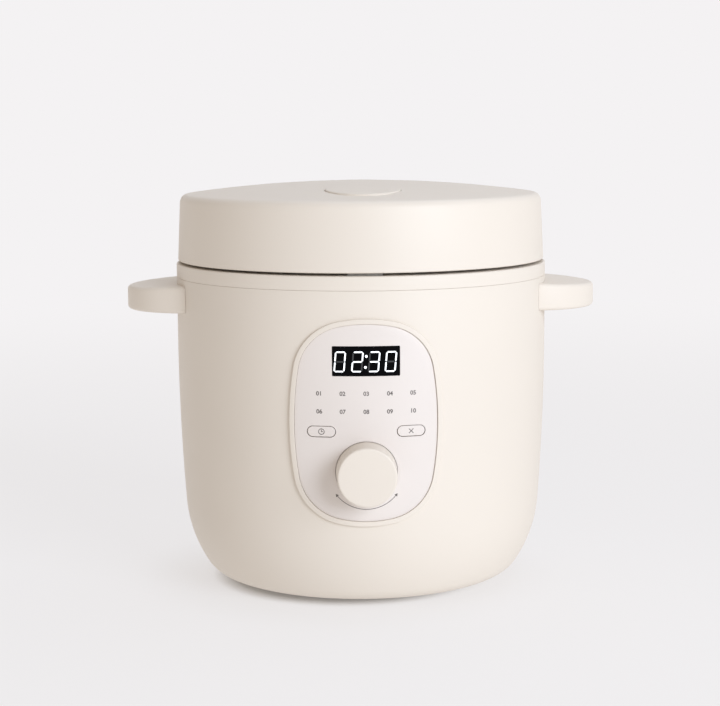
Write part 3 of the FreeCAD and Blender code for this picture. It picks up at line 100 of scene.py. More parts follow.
def softened(corners, arc_step=0.22):
    """A closed outline whose corners are rounded by their third number."""
    outline = []
    for k, corner in enumerate(corners):
        here = Vector(corner[:2])
        if len(corner) < 3:
            outline.append(tuple(here))
            continue
        before = (Vector(corners[k - 1][:2]) - here).normalized()
        after = (Vector(corners[(k + 1) % len(corners)][:2]) - here).normalized()
        half = before.angle(after) / 2
        middle = here + (before + after).normalized() * (corner[2] / math.sin(half))
        first = here + before * (corner[2] / math.tan(half)) - middle
        last = here + after * (corner[2] / math.tan(half)) - middle
        start = math.atan2(first.y, first.x)
        sweep = (math.atan2(last.y, last.x) - start + math.pi) % math.tau - math.pi
        steps = max(3, round(abs(sweep) / arc_step))
        for step in range(steps + 1):
            turn = start + sweep * step / steps
            outline.append((middle.x + corner[2] * math.cos(turn), middle.y + corner[2] * math.sin(turn)))
    return outline


def solid(name, mesh, place=Matrix(), weld=1e-5):
    """An object of a mesh drawn in millimetres."""
    bmesh.ops.remove_doubles(mesh, verts=mesh.verts, dist=weld)
    mesh.transform(Matrix.Scale(mm, 4) @ place)
    bmesh.ops.recalc_face_normals(mesh, faces=mesh.faces)
    data = bpy.data.meshes.new(name)
    mesh.to_mesh(data)
    mesh.free()
    piece = bpy.data.objects.new(name, data)
    bpy.context.collection.objects.link(piece)
    return piece


def compass(count):
    """Directions all round, as unit steps in two axes."""
    return [(math.cos(math.tau * k / count), math.sin(math.tau * k / count)) for k in range(count)]


def turned(name, outline, turns=200, place=Matrix()):
    """A closed outline of radii and heights turned about Z."""
    mesh = bmesh.new()
    rings = []
    for radius, height in outline:
        if radius < 1e-6:
            rings.append([mesh.verts.new((0, 0, height))] * turns)
        else:
            rings.append([mesh.verts.new((radius * x, radius * y, height)) for x, y in compass(turns)])
    for ring, other in zip(rings, rings[1:] + rings[:1]):
        for k in range(turns):
            n = (k + 1) % turns
            corners = list(dict.fromkeys((ring[k], ring[n], other[n], other[k])))
            if len(corners) > 2:
                mesh.faces.new(corners)
    return solid(name, mesh, place)


def lofted(name, rings, joined=False):
    """A mesh through rings of as many points, capped at both ends or joined into a loop."""
    mesh = bmesh.new()
    rows = [[mesh.verts.new(point) for point in ring] for ring in rings]
    for row, other in zip(rows, rows[1:] + (rows[:1] if joined else [])):
        for k in range(len(row)):
            n = (k + 1) % len(row)
            mesh.faces.new((row[k], row[n], other[n], other[k]))
    if not joined:
        mesh.faces.new(rows[0])
        mesh.faces.new(rows[-1])
    return solid(name, mesh)


def block(x, y, z):
    """A box between the two ends given on each axis, as a cutter."""
    ring = [(x[0], y[0]), (x[1], y[0]), (x[1], y[1]), (x[0], y[1])]
    return lofted("cutter", [[(a, b, height) for a, b in ring] for height in z])


def pushed(outline, near, far):
    """An outline in X and Z pushed along Y, as a cutter."""
    return lofted("cutter", [[(x, y, z) for x, z in outline] for y in (near, far)])


def settle(piece):
    """Replace a piece's mesh by what its modifiers make of it."""
    bpy.context.view_layer.update()
    made = bpy.data.meshes.new_from_object(piece.evaluated_get(bpy.context.evaluated_depsgraph_get()))
    piece.modifiers.clear()
    piece.data = made


def cut(piece, *tools, how="DIFFERENCE"):
    """Take tools out of a piece, or join them to it, and remove them."""
    for tool in tools:
        step = piece.modifiers.new("cut", "BOOLEAN")
        step.operation = how
        step.object = tool
        settle(piece)
        bpy.data.objects.remove(tool)


def place_piece(piece, body, look, slot, *nodes, crease=35, weld=4e-6):
    """Clean a piece's mesh, give it its finish, shading and body, and hide the nodes it stands for; the slot
    is not used.
    """
    mesh = bmesh.new()
    mesh.from_mesh(piece.data)
    bmesh.ops.remove_doubles(mesh, verts=mesh.verts, dist=weld)
    bmesh.ops.dissolve_degenerate(mesh, edges=mesh.edges, dist=weld)
    bmesh.ops.delete(mesh, geom=[edge for edge in mesh.edges if edge.is_wire], context="EDGES")
    bmesh.ops.holes_fill(mesh, edges=[edge for edge in mesh.edges if edge.is_boundary])
    bmesh.ops.recalc_face_normals(mesh, faces=mesh.faces)
    mesh.to_mesh(piece.data)
    mesh.free()
    piece.data.materials.clear()
    piece.data.materials.append(look)
    piece.data.polygons.foreach_set("material_index", [0] * len(piece.data.polygons))
    piece.data.shade_smooth()
    piece.data.set_sharp_from_angle(angle=math.radians(crease))
    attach(piece, body)
    if nodes:
        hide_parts(*nodes)


def finish(name, colour, rough, drift=0.025, cloud=14.0, grain=2600.0, depth=0.05, patchy=0.05, **sockets):
    """A finish with clouded tone, uneven sheen and a fine grain; further sockets are the shader's own."""
    look = bpy.data.materials.new(name)
    look.use_nodes = True
    tree = look.node_tree
    shader = tree.nodes["Principled BSDF"]
    place = tree.nodes.new("ShaderNodeTexCoord")

    def noise(scale, detail):
        node = tree.nodes.new("ShaderNodeTexNoise")
        node.inputs["Scale"].default_value = scale
        node.inputs["Detail"].default_value = detail
        tree.links.new(place.outputs["Object"], node.inputs["Vector"])
        return node.outputs["Fac"]

    tone = tree.nodes.new("ShaderNodeMix")
    tone.data_type = "RGBA"
    tone.inputs[6].default_value = (*[value * (1 - drift) for value in colour], 1)
    tone.inputs[7].default_value = (*[min(1, value * (1 + drift)) for value in colour], 1)
    tree.links.new(noise(cloud, 3.0), tone.inputs[0])
    tree.links.new(tone.outputs[2], shader.inputs["Base Color"])
    sheen = tree.nodes.new("ShaderNodeMapRange")
    sheen.inputs["To Min"].default_value = max(0.02, rough - patchy)
    sheen.inputs["To Max"].default_value = min(1, rough + patchy)
    tree.links.new(noise(cloud * 6, 4.0), sheen.inputs["Value"])
    tree.links.new(sheen.outputs["Result"], shader.inputs["Roughness"])
    bump = tree.nodes.new("ShaderNodeBump")
    bump.inputs["Strength"].default_value = depth
    bump.inputs["Distance"].default_value = 0.3 * mm
    tree.links.new(noise(grain, 2.0), bump.inputs["Height"])
    tree.links.new(bump.outputs["Normal"], shader.inputs["Normal"])
    for socket, value in sockets.items():
        shader.inputs[socket.replace("_", " ")].default_value = value
    return look


def panel_oval(grow):
    """The panel's outline in X and Z: two long sides, two ends and four corners, all arcs."""
    side = Vector((panel_half[0] - panel_radii[0], 0))
    end = Vector((0, panel_half[1] - panel_radii[1]))
    apart = end - side
    to_side = panel_radii[0] - panel_radii[2]
    to_end = panel_radii[1] - panel_radii[2]
    along = (to_side ** 2 - to_end ** 2 + apart.length_squared) / (2 * apart.length)
    unit = apart.normalized()
    corner = side + unit * along + Vector((-unit.y, unit.x)) * math.sqrt(to_side ** 2 - along ** 2)
    low = math.atan2(corner.y - side.y, corner.x - side.x)
    high = math.atan2(corner.y - end.y, corner.x - end.x)
    runs = ((side, panel_radii[0], 0, low, 12), (corner, panel_radii[2], low, high, 22),
            (end, panel_radii[1], high, math.pi / 2, 12))
    quarter = []
    for centre, radius, start, stop, count in runs:
        for step in range(count):
            turn = start + (stop - start) * step / count
            away = radius + grow
            quarter.append((centre.x + away * math.cos(turn), centre.y + away * math.sin(turn)))
    upper = quarter + [(0, panel_half[1] + grow)] + [(-x, z) for x, z in reversed(quarter)]
    return [(x, z + panel_z) for x, z in upper + [(-x, -z) for x, z in upper[1:-1]]]


cream_abs = finish("cream_abs", cream, 0.5, IOR=1.47)
outer = [(body_radius, body_line, line_round)] + side_profile(0) + [(base_radius, body_foot, base_round)]
inner = [(base_radius, body_foot + body_wall)] + side_profile(-body_wall)[::-1]
body_rim = [(body_radius - body_wall, body_line)]
body_shell = turned("body_shell", softened(outer + inner + body_rim), body_turns)
inlet_hole = [half + inlet_play for half in inlet_half]
inlet_heights = (inlet_z - inlet_hole[1], inlet_z + inlet_hole[1])
cut(body_shell, pushed(panel_oval(panel_opening), -beyond, -inside),
    block((-inlet_hole[0], inlet_hole[0]), (inside, beyond), inlet_heights))
place_piece(body_shell, "cooker_body", cream_abs, "body_plastic", "outer_body")

# Collar: the cream ring that caps the bowl and carries the pot's rim, snapped on at the fine parting line.
# A slot at its front takes the hook of the lid's latch.
deck = 177.4
deck_round = 0.8
deck_under = deck - body_wall
collar_foot = body_line + 0.07
rim_radius = 86.0
shelf_radius = 81.2
shelf_round = 0.4
shelf = (170.2, 172.2)
snap_radii = (97.4, 99.8)
snap_foot = 165.4
collar = turned("collar", softened([
    (body_radius, collar_foot, line_round), (body_radius, deck, deck_round), (rim_radius, deck, deck_round),
    (rim_radius, shelf[1]), (shelf_radius, shelf[1], shelf_round), (shelf_radius, shelf[0], shelf_round),
    (rim_radius + body_wall, shelf[0]), (rim_radius + body_wall, deck_under), (snap_radii[0], deck_under),
    (snap_radii[0], snap_foot), (snap_radii[1], snap_foot), (snap_radii[1], collar_foot)]), body_turns)
hook_slot = block((-9.5, 9.5), (-97.8, -90.2), (174.0, 179.0))
cut(collar, hook_slot)
place_piece(collar, "cooker_body", cream_abs, "body_plastic", "collar_ring")

# Handles: two solid ears of the same ABS, screwed on from inside the bowl before the liner goes in.
# Their tops fall away a little to the tip and their undersides are hollowed for the fingers.
ear_bottom = 152.0
ear_height = 14.9
ear_fall = 2.1
ear_centre = 92.5
ear_radius = 37.5
ear_round = 2.0
ear_points = compass(160)
ear_span = (140.0, 175.0)
hollow_radius = 33.5
hollow_heights = (150.0, 155.0)
hollow_start = body_radius + 4.0
wall_seat = body_radius + 0.1


def rounded_edge(reach, edge, steps):
    """Reach and drop along the quarter round of an edge, from its side up to its top."""
    turns = [math.pi / 2 * step / steps for step in range(steps + 1)]
    return [(reach - edge * (1 - math.cos(turn)), edge * (1 - math.sin(turn))) for turn in turns]


def rod(radius, low, high, turns, place=Matrix()):
    """A plain cylinder about Z, as a cutter."""
    return turned("cutter", [(0, low), (radius, low), (radius, high), (0, high)], turns, place)


def ear_top(out):
    """Height of an ear's top at a distance from its own middle, outwards."""
    return ear_bottom + ear_height - ear_fall * out / ear_radius


for side, name, node in ((-1, "left_ear", "left_handle"), (1, "right_ear", "right_handle")):
    edge = rounded_edge(ear_radius, ear_round, 6)
    under = [(0.02 * ear_radius, 0.0)] + edge[::-1]
    over = edge + [(share * ear_radius, 0.0) for share in (0.8, 0.6, 0.4, 0.2, 0.02)]
    rings = [[(side * (ear_centre + reach * x), reach * y, ear_bottom + drop) for x, y in ear_points]
             for reach, drop in under]
    rings += [[(side * (ear_centre + reach * x), reach * y, ear_top(reach * x) - drop) for x, y in ear_points]
              for reach, drop in over]
    ear = lofted(name, rings)
    plan = [(side * (ear_centre + hollow_radius * x), hollow_radius * y) for x, y in ear_points]
    hollow = lofted("cutter", [[(x, y, z) for x, y in plan] for z in hollow_heights])
    cut(hollow, rod(hollow_start, *ear_span, body_turns))
    cut(ear, hollow, rod(wall_seat, *ear_span, body_turns))
    place_piece(ear, "cooker_body", cream_abs, "body_plastic", node)

# Panel bezel: a thin proud ring of the body's own ABS that hides the edge of the opening.
# It is pressed in from the front and its inner step carries the control plate.
bezel_reach = (0.2, 2.8)
bezel_proud = 1.5
bezel_seat = 0.1
bezel_neck = 1.7
bezel_depth = -4.0
ledge_reach = -1.6
ledge_depth = -1.4


def side_radius(z):
    """The body's outer radius at a height."""
    for centre_r, centre_z, radius, start, end in side_arcs():
        if z >= centre_z - radius * math.sin(start):
            return body_radius
        if z >= centre_z - radius * math.sin(end):
            return centre_r + math.sqrt(radius ** 2 - (centre_z - z) ** 2)
    return centre_r


def on_skin(outline, offset):
    """An outline in X and Z laid on the front of the body, moved outwards by an offset."""
    return [(x, -math.sqrt((side_radius(z) + offset) ** 2 - x ** 2), z) for x, z in outline]


bezel_section = softened([
    (bezel_reach[1], bezel_seat, 0.1), (bezel_reach[1], bezel_proud, 0.4), (bezel_reach[0], bezel_proud, 0.3),
    (bezel_reach[0], ledge_depth), (ledge_reach, ledge_depth), (ledge_reach, bezel_depth),
    (bezel_neck, bezel_depth), (bezel_neck, bezel_seat)])
bezel = lofted("bezel", [on_skin(panel_oval(grow), offset) for grow, offset in bezel_section], joined=True)
place_piece(bezel, "cooker_body", cream_abs, "body_plastic", "panel_bezel")

# Control plate: a curved fascia in a whiter, slightly rosy ABS, printed in grey and clipped behind the bezel.
# It has a window for the display, two capsule holes for the keys and a round well for the knob.
plate_face = 0.7
plate_back = -1.3
plate_edge = 0.2
plate_grow = 0.1
plate_crease = 28
knob_z = 77.2
knob_y = -(side_radius(knob_z) + plate_face)
knob_axis = Matrix.Translation((0, knob_y, knob_z)) @ Matrix.Rotation(math.pi / 2, 4, "X")
well_radius = 15.98
well_floor = -4.2
well_boss = (17.35, -5.4, -1.2)
well_span = (-20.0, 12.0)
shaft_hole = 4.2
key_z = 98.1
key_spread = 22.9
key_half = 2.65
key_run = 4.4
key_gap = 0.35
display_z = 134.5
display_half = (17.2, 7.6)
display_corner = 0.5
display_gap = 0.1
rosy_abs = finish("rosy_abs", (0.765, 0.706, 0.66), 0.38, depth=0.03)


def shrunk(outline, share):
    """An outline drawn in towards its middle."""
    middle = [sum(point[k] for point in outline) / len(outline) for k in (0, 1)]
    return [tuple(middle[k] + (point[k] - middle[k]) * share for k in (0, 1)) for point in outline]


def skin_tile(name, shape, face, back, edge):
    """A tile that follows the body's front, its face's edge rounded; shape gives its outline when grown."""
    rings = [on_skin(shrunk(shape(0), share), back) for share in (0.02, 0.5)] + [on_skin(shape(0), back)]
    rings += [on_skin(shape(grow), face - drop) for grow, drop in rounded_edge(0, edge, 5)]
    middle_shares = (0.93, 0.82, 0.66, 0.5, 0.34, 0.18, 0.02)
    rings += [on_skin(shrunk(shape(-edge), share), face) for share in middle_shares]
    return lofted(name, rings)


def capsule(x):
    """The outline of a key, as a function of how much it is grown."""
    def outline(grow):
        half = key_half + grow
        points = []
        for end, start in ((1, -math.pi / 2), (-1, math.pi / 2)):
            for k in range(17):
                turn = start + math.pi * k / 16
                points.append((x + end * key_run + half * math.cos(turn), key_z + half * math.sin(turn)))
        return points
    return outline


def rectangle(x, z, corner):
    """An upright rectangle of half sizes with rounded corners."""
    return softened([(x, -z, corner), (x, z, corner), (-x, z, corner), (-x, -z, corner)])


def window_outline(grow):
    """The display's rectangle with tight corners, divided along its edges."""
    corners = rectangle(display_half[0] + grow, display_half[1] + grow, display_corner)
    points = []
    for k, corner in enumerate(corners):
        after = corners[(k + 1) % len(corners)]
        parts = 8 if math.dist(corner, after) > 5 else 1
        points += [tuple(a + (b - a) * part / parts for a, b in zip(corner, after)) for part in range(parts)]
    return [(a, b + display_z) for a, b in points]


plate = skin_tile("fascia", lambda grow: panel_oval(plate_grow + grow), plate_face, plate_back, plate_edge)
cut(plate, rod(*well_boss, 120, knob_axis), how="UNION")
cut(plate, rod(well_radius, well_floor, well_span[1], 120, knob_axis),
    rod(shaft_hole, *well_span, 120, knob_axis), pushed(window_outline(display_gap), -beyond, -inside),
    *[pushed(capsule(x)(key_gap), -beyond, -inside) for x in (-key_spread, key_spread)])
place_piece(plate, "cooker_body", rosy_abs, "panel_plastic", "control_plate", crease=plate_crease)

# Display window: a flush insert of smoked acrylic that hides the digit module until it is lit.
# It is moulded to the plate's curve and heat-staked from behind.
window_back = -2.6
window_edge = 0.15
smoked = finish("smoked_acrylic", (0.0025, 0.0025, 0.003), 0.14, drift=0.2, depth=0.0, patchy=0.03,
                Specular_IOR_Level=0.03)
window = skin_tile("window", window_outline, plate_face, window_back, window_edge)
place_piece(window, "cooker_body", smoked, "display", "display_window")

# Digits: seven-segment figures that shine white through the smoke, with the unlit segments just showing.
# Each is a thin film on the window, where the light of the module behind it comes out.
digit_size = (5.6, 10.6)
digit_bar = 0.72
digit_gap = 0.16
digit_z = display_z - 0.3
digit_lean = math.tan(math.radians(5))
digit_places = (("0", -13.3), ("2", -4.4), ("3", 4.1), ("0", 12.6))
segments_of = {"0": "abcdef", "2": "abged", "3": "abcdg"}
colon_x = -0.1
colon_rise = 2.8
colon_radius = 0.7
lit = bpy.data.materials.new("lit_segment")
lit.use_nodes = True
lit_shader = lit.node_tree.nodes["Principled BSDF"]
lit_shader.inputs["Base Color"].default_value = (0.9, 0.92, 0.94, 1)
lit_shader.inputs["Emission Color"].default_value = (0.93, 0.97, 1.0, 1)
lit_place = lit.node_tree.nodes.new("ShaderNodeTexCoord")
lit_glow = lit.node_tree.nodes.new("ShaderNodeTexNoise")
lit_glow.inputs["Scale"].default_value = 900.0
lit_range = lit.node_tree.nodes.new("ShaderNodeMapRange")
lit_range.inputs["To Min"].default_value = 0.72
lit_range.inputs["To Max"].default_value = 0.9
lit.node_tree.links.new(lit_place.outputs["Object"], lit_glow.inputs["Vector"])
lit.node_tree.links.new(lit_glow.outputs["Fac"], lit_range.inputs["Value"])
lit.node_tree.links.new(lit_range.outputs["Result"], lit_shader.inputs["Emission Strength"])
unlit = finish("unlit_segment", (0.035, 0.036, 0.038), 0.25, depth=0.0)


def segment_shapes():
    """The six-cornered shapes of the seven segments about a digit's middle."""
    b = digit_bar / 2
    w = digit_size[0] / 2 - b
    h = digit_size[1] / 2 - b
    gap = digit_gap
    shapes = {}
    for letter, z in (("a", h), ("g", 0), ("d", -h)):
        shapes[letter] = [(-w + gap, z), (-w + b + gap, z - b), (w - b - gap, z - b),
                          (w - gap, z), (w - b - gap, z + b), (-w + b + gap, z + b)]
    for letter, x, low, high in (("b", w, 0, h), ("c", w, -h, 0), ("e", -w, -h, 0), ("f", -w, 0, h)):
        shapes[letter] = [(x, low + gap), (x + b, low + b + gap), (x + b, high - b - gap),
                          (x, high - gap), (x - b, high - b - gap), (x - b, low + b + gap)]
    return shapes


def printed(name, shapes, face, look, body, slot, proud=0.03, skin=on_skin, sunk=0.06, weld=0.015):
    """Flat shapes laid as one thin film on a skin, with no walls between shapes that touch."""
    mesh = bmesh.new()
    for shape in shapes:
        mesh.faces.new([mesh.verts.new((a, b, 0)) for a, b in shape])
    bmesh.ops.remove_doubles(mesh, verts=mesh.verts, dist=weld)
    for corner in bmesh.ops.extrude_face_region(mesh, geom=mesh.faces[:])["geom"]:
        if isinstance(corner, bmesh.types.BMVert):
            corner.co.z = 1
    for corner in mesh.verts:
        corner.co = skin([corner.co.xy], face + proud if corner.co.z > 0.5 else face - sunk)[0]
    place_piece(solid(name, mesh), body, look, slot)


bright = []
dim = []
for figure, x in digit_places:
    for letter, shape in segment_shapes().items():
        moved = [(x + a + b * digit_lean, digit_z + b) for a, b in shape]
        (bright if letter in segments_of[figure] else dim).append(moved)
for rise in (-colon_rise, colon_rise):
    bright.append([(colon_x + rise * digit_lean + colon_radius * a, digit_z + rise + colon_radius * b)
                   for a, b in compass(12)])
printed("lit_digits", bright, plate_face, lit, "cooker_body", "display")
printed("dark_segments", dim, plate_face, unlit, "cooker_body", "display", 0.02)

# Keys: two capsule caps of the plate's ABS on snap stems, whose flanges hold them behind the plate.
# A sign is printed on each face: a clock for the timer and a cross for cancelling.
key_back = -1.6
key_edge = 0.3
flange_grow = 1.35
flange_back = -2.8
flange_edge = 0.1
clock_radius = 1.45
clock_line = 0.36
hand_half = 0.17
hand_lengths = (0.9, 1.0)
cross_half = 0.2
cross_reach = 1.6
print_grey = finish("print_grey", (0.13, 0.115, 0.105), 0.55, depth=0.0)


def band(centre, radius, width, start, stop, count):
    """Four-cornered pieces of a printed arc, with turns in degrees from straight down."""
    shapes = []
    rims = (radius - width / 2, radius + width / 2)
    for k in range(count):
        turns = [math.radians(start + (stop - start) * step / count) for step in (k, k + 1)]
        corners = [(turns[0], rims[0]), (turns[1], rims[0]), (turns[1], rims[1]), (turns[0], rims[1])]
        shapes.append([(centre[0] + r * math.sin(t), centre[1] - r * math.cos(t)) for t, r in corners])
    return shapes


hands = [(-hand_half, -hand_half), (hand_lengths[0], -hand_half), (hand_lengths[0], hand_half),
         (hand_half, hand_half), (hand_half, hand_lengths[1]), (-hand_half, hand_lengths[1])]
clock = band((0, 0), clock_radius, clock_line, 0, 360, 28) + [hands]
arm = [complex(cross_half, cross_half), complex(cross_reach, cross_half), complex(cross_reach, -cross_half)]
eighth_turn = complex(math.sqrt(0.5), math.sqrt(0.5))
corners = [corner * 1j ** -quarter * eighth_turn for quarter in range(4) for corner in arm]
cross = [[(corner.real, corner.imag) for corner in corners]]
for name, body, x, sign_name, sign in (("left_key", "timer_key", -key_spread, "clock_sign", clock),
                                       ("right_key", "cancel_key", key_spread, "cross_sign", cross)):
    cap = skin_tile(name, capsule(x), plate_face, key_back, key_edge)
    flange = skin_tile("cutter", lambda grow: capsule(x)(flange_grow + grow), key_back,
                       flange_back, flange_edge)
    cut(cap, flange, how="UNION")
    place_piece(cap, body, rosy_abs, "panel_plastic", body, crease=plate_crease)
    shapes = [[(x + a, key_z + b) for a, b in shape] for shape in sign]
    printed(sign_name, shapes, plate_face, print_grey, body, "panel_plastic")

# Printing on the plate: ten programme numbers in two rows and the knob's arc with its arrow heads.
# It is one pass of grey pad-printing ink.
number_rows = (117.9, 108.6)
number_turn = 6.72
number_height = 2.1
figure_share = 0.7
ink_spread = 0.035
arc_radius = 19.6
arc_line = 0.34
arc_half = 50
arrow_turns = (49.5, 54)
arrow_half = 0.9


def numeral(text, x, z, height):
    """A number as flat shapes in X and Z, from the built-in typeface."""
    curve = bpy.data.curves.new("numeral", "FONT")
    curve.body = text
    curve.size = height / figure_share
    curve.offset = height * ink_spread
    curve.align_x = "CENTER"
    holder = bpy.data.objects.new("numeral", curve)
    bpy.context.collection.objects.link(holder)
    bpy.context.view_layer.update()
    flat = bpy.data.meshes.new_from_object(holder.evaluated_get(bpy.context.evaluated_depsgraph_get()))
    points = [(x + point.co.x, z - height / 2 + point.co.y) for point in flat.vertices]
    shapes = [[points[k] for k in face.vertices] for face in flat.polygons]
    bpy.data.objects.remove(holder)
    return shapes


ink = []
for row, z in enumerate(number_rows):
    for column in range(5):
        x = (side_radius(z) + plate_face) * math.sin(math.radians(number_turn * (column - 2)))
        ink += numeral("%02d" % (5 * row + column + 1), x, z, number_height)
ink += band((0, knob_z), arc_radius, arc_line, -arc_half, arc_half, 48)
for side in (-1, 1):
    foot, tip = [math.radians(side * turn) for turn in arrow_turns]
    corners = ((arc_radius + arrow_half, foot), (arc_radius, tip), (arc_radius - arrow_half, foot))
    ink.append([(r * math.sin(t), knob_z - r * math.cos(t)) for r, t in corners])
printed("panel_print", ink, plate_face, print_grey, "cooker_body", "panel_plastic", 0.02)

# Knob: a slightly drawn-in cap of cream ABS, moulded hollow and pushed on the encoder's flatted shaft.
# Its skirt runs in the plate's well.
knob_reach = 15.5
knob_face = 15.2
knob_round = 1.1
knob_wall = 2.0
skirt_radius = 15.7
skirt_foot = -2.2
skirt_round = 0.2
knob = turned("knob", softened([
    (0, knob_reach), (knob_face, knob_reach, knob_round), (skirt_radius, 0.0),
    (skirt_radius, skirt_foot, skirt_round), (skirt_radius - knob_wall, skirt_foot, skirt_round),
    (knob_face - knob_wall, knob_reach - knob_wall), (0, knob_reach - knob_wall)]), 180, knob_axis)
place_piece(knob, "knob", cream_abs, "body_plastic", "control_knob", crease=40)

# Lid cover: a domed shell of cream ABS with a soft shoulder and a sleeve each for button and vent.
# It is moulded in one and screwed to the lid liner from below, and a notch at its back clears the hinge.
lid_foot = 178.8
lid_radius = 101.5
lid_foot_round = 0.8
lid_shoulder = 4.4
lid_rim = 214.6
lid_crown = 221.6
lid_wall = 2.4
dome_edge = 99.8
dome_rise = lid_crown - lid_rim
dome_radius = (dome_edge ** 2 + dome_rise ** 2) / (2 * dome_rise)
dome_inner = 97.0
shoulder_inner = (97.4, 212.0, 2.0)
button_y = -60.0
button_radius = 19.8
vent_y = 58.0
vent_radius = 16.0
sleeve_play = 0.35
sleeve_wall = 1.6
sleeve_depth = 9.0
notch_half = 14.7
notch_front = 91.0
notch_top = 190.6
lid_span = (170.0, 230.0)


def dome_z(distance):
    """Height of the lid's top at a distance from the axis."""
    return lid_crown - dome_radius + math.sqrt(dome_radius ** 2 - distance ** 2)


shares = [k / 26 for k in range(25, 0, -1)]
lid_outer = [(lid_radius, lid_foot, lid_foot_round), (dome_edge, lid_rim, lid_shoulder)]
lid_outer += [(dome_edge * share, dome_z(dome_edge * share)) for share in shares] + [(0, lid_crown)]
lid_inner = [(0, lid_crown - lid_wall)]
lid_inner += [(dome_inner * share, dome_z(dome_inner * share) - lid_wall) for share in shares[::-1]]
lid_inner += [shoulder_inner, (lid_radius - lid_wall, lid_foot)]
lid = turned("lid_shell", softened(lid_outer + lid_inner), body_turns)
for y, radius in ((button_y, button_radius + sleeve_play), (vent_y, vent_radius + sleeve_play)):
    top = dome_z(y)
    axis = Matrix.Translation((0, y, 0))
    cut(lid, rod(radius + sleeve_wall, top - sleeve_depth, top - sleeve_wall, 120, axis), how="UNION")
    cut(lid, rod(radius, *lid_span, 120, axis))
cut(lid, block((-notch_half, notch_half), (notch_front, beyond), (lid_span[0], notch_top)))
place_piece(lid, "lid", cream_abs, "body_plastic", "lid_cover")

# Lid button: a hollow cap of cream ABS that carries on the lid's dome and stands a hair proud of it.
# It slides in its sleeve, and its round-ended stem presses the latch lever.
button_proud = 0.7
button_hollow = button_radius - 1.8
button_roof = dome_z(80) - 1.2
button_axis = Matrix.Translation((0, button_y, 0))
cap_edge = 0.7
press_radius = 4.0
press_tip = 196.3
press_round = 2.0
press_top = dome_z(70) - 0.6


def dome_cap(name, y, radius, proud, foot):
    """A round cap about an axis in the lid, whose top follows the dome with a rounded edge."""
    ways = compass(120)
    rings = [[(reach * a, y + reach * b, foot) for a, b in ways] for reach in (0.02 * radius, radius)]
    top = rounded_edge(radius, cap_edge, 6) + [(share * radius, 0.0) for share in (0.85, 0.7, 0.5, 0.3, 0.02)]
    for reach, drop in top:
        spots = [(reach * a, y + reach * b) for a, b in ways]
        rings.append([(*spot, dome_z(math.hypot(*spot)) + proud - drop) for spot in spots])
    return lofted(name, rings)


button = dome_cap("lid_press", button_y, button_radius, button_proud, dome_z(button_y) - sleeve_depth)
cut(button, rod(button_hollow, lid_span[0], button_roof, 120, button_axis))
press_stem = softened([(0, press_tip), (press_radius, press_tip, press_round), (press_radius, press_top),
                       (0, press_top)])
cut(button, turned("cutter", press_stem, 48, button_axis), how="UNION")
place_piece(button, "lid_button", cream_abs, "body_plastic", "lid_button")

# Steam vent: a hollow cap of the same ABS that lifts out of the lid for washing, with a row of outlet slots.
# Its stem stands in the lid's chimney on a silicone ring.
vent_proud = 0.3
vent_wall = 1.6
vent_foot = dome_z(vent_y) - 20
vent_roof = dome_z(vent_y + vent_radius) - 1.3
vent_axis = Matrix.Translation((0, vent_y, 0))
vent_bore = 3.0
pipe_radius = 7.6
pipe_tip = vent_foot - 12
pipe_top = vent_foot + 0.8
pipe_round = 0.6
outlet_size = (2.2, 12.0)
outlet_count = 5
outlet_pitch = 4.4


def by_nodes(piece, look, sizes, build):
    """Make a piece by a node tree with named inputs and a finish, and keep it as a plain mesh."""
    tree = bpy.data.node_groups.new(piece.name, "GeometryNodeTree")
    tree.interface.new_socket("Geometry", in_out="OUTPUT", socket_type="NodeSocketGeometry")
    tree.interface.new_socket("Geometry", in_out="INPUT", socket_type="NodeSocketGeometry")
    values = {}
    for label, kind, value in (*sizes, ("Finish", "NodeSocketMaterial", look)):
        values[tree.interface.new_socket(label, in_out="INPUT", socket_type=kind).identifier] = value
    given = tree.nodes.new("NodeGroupInput")
    real = tree.nodes.new("GeometryNodeRealizeInstances")
    paint = tree.nodes.new("GeometryNodeSetMaterial")
    end = tree.nodes.new("NodeGroupOutput")
    tree.links.new(build(tree, given.outputs), real.inputs["Geometry"])
    tree.links.new(real.outputs["Geometry"], paint.inputs["Geometry"])
    tree.links.new(given.outputs["Finish"], paint.inputs["Material"])
    tree.links.new(paint.outputs["Geometry"], end.inputs["Geometry"])
    step = piece.modifiers.new("nodes", "NODES")
    step.node_group = tree
    for identifier, value in values.items():
        step[identifier] = value
    settle(piece)


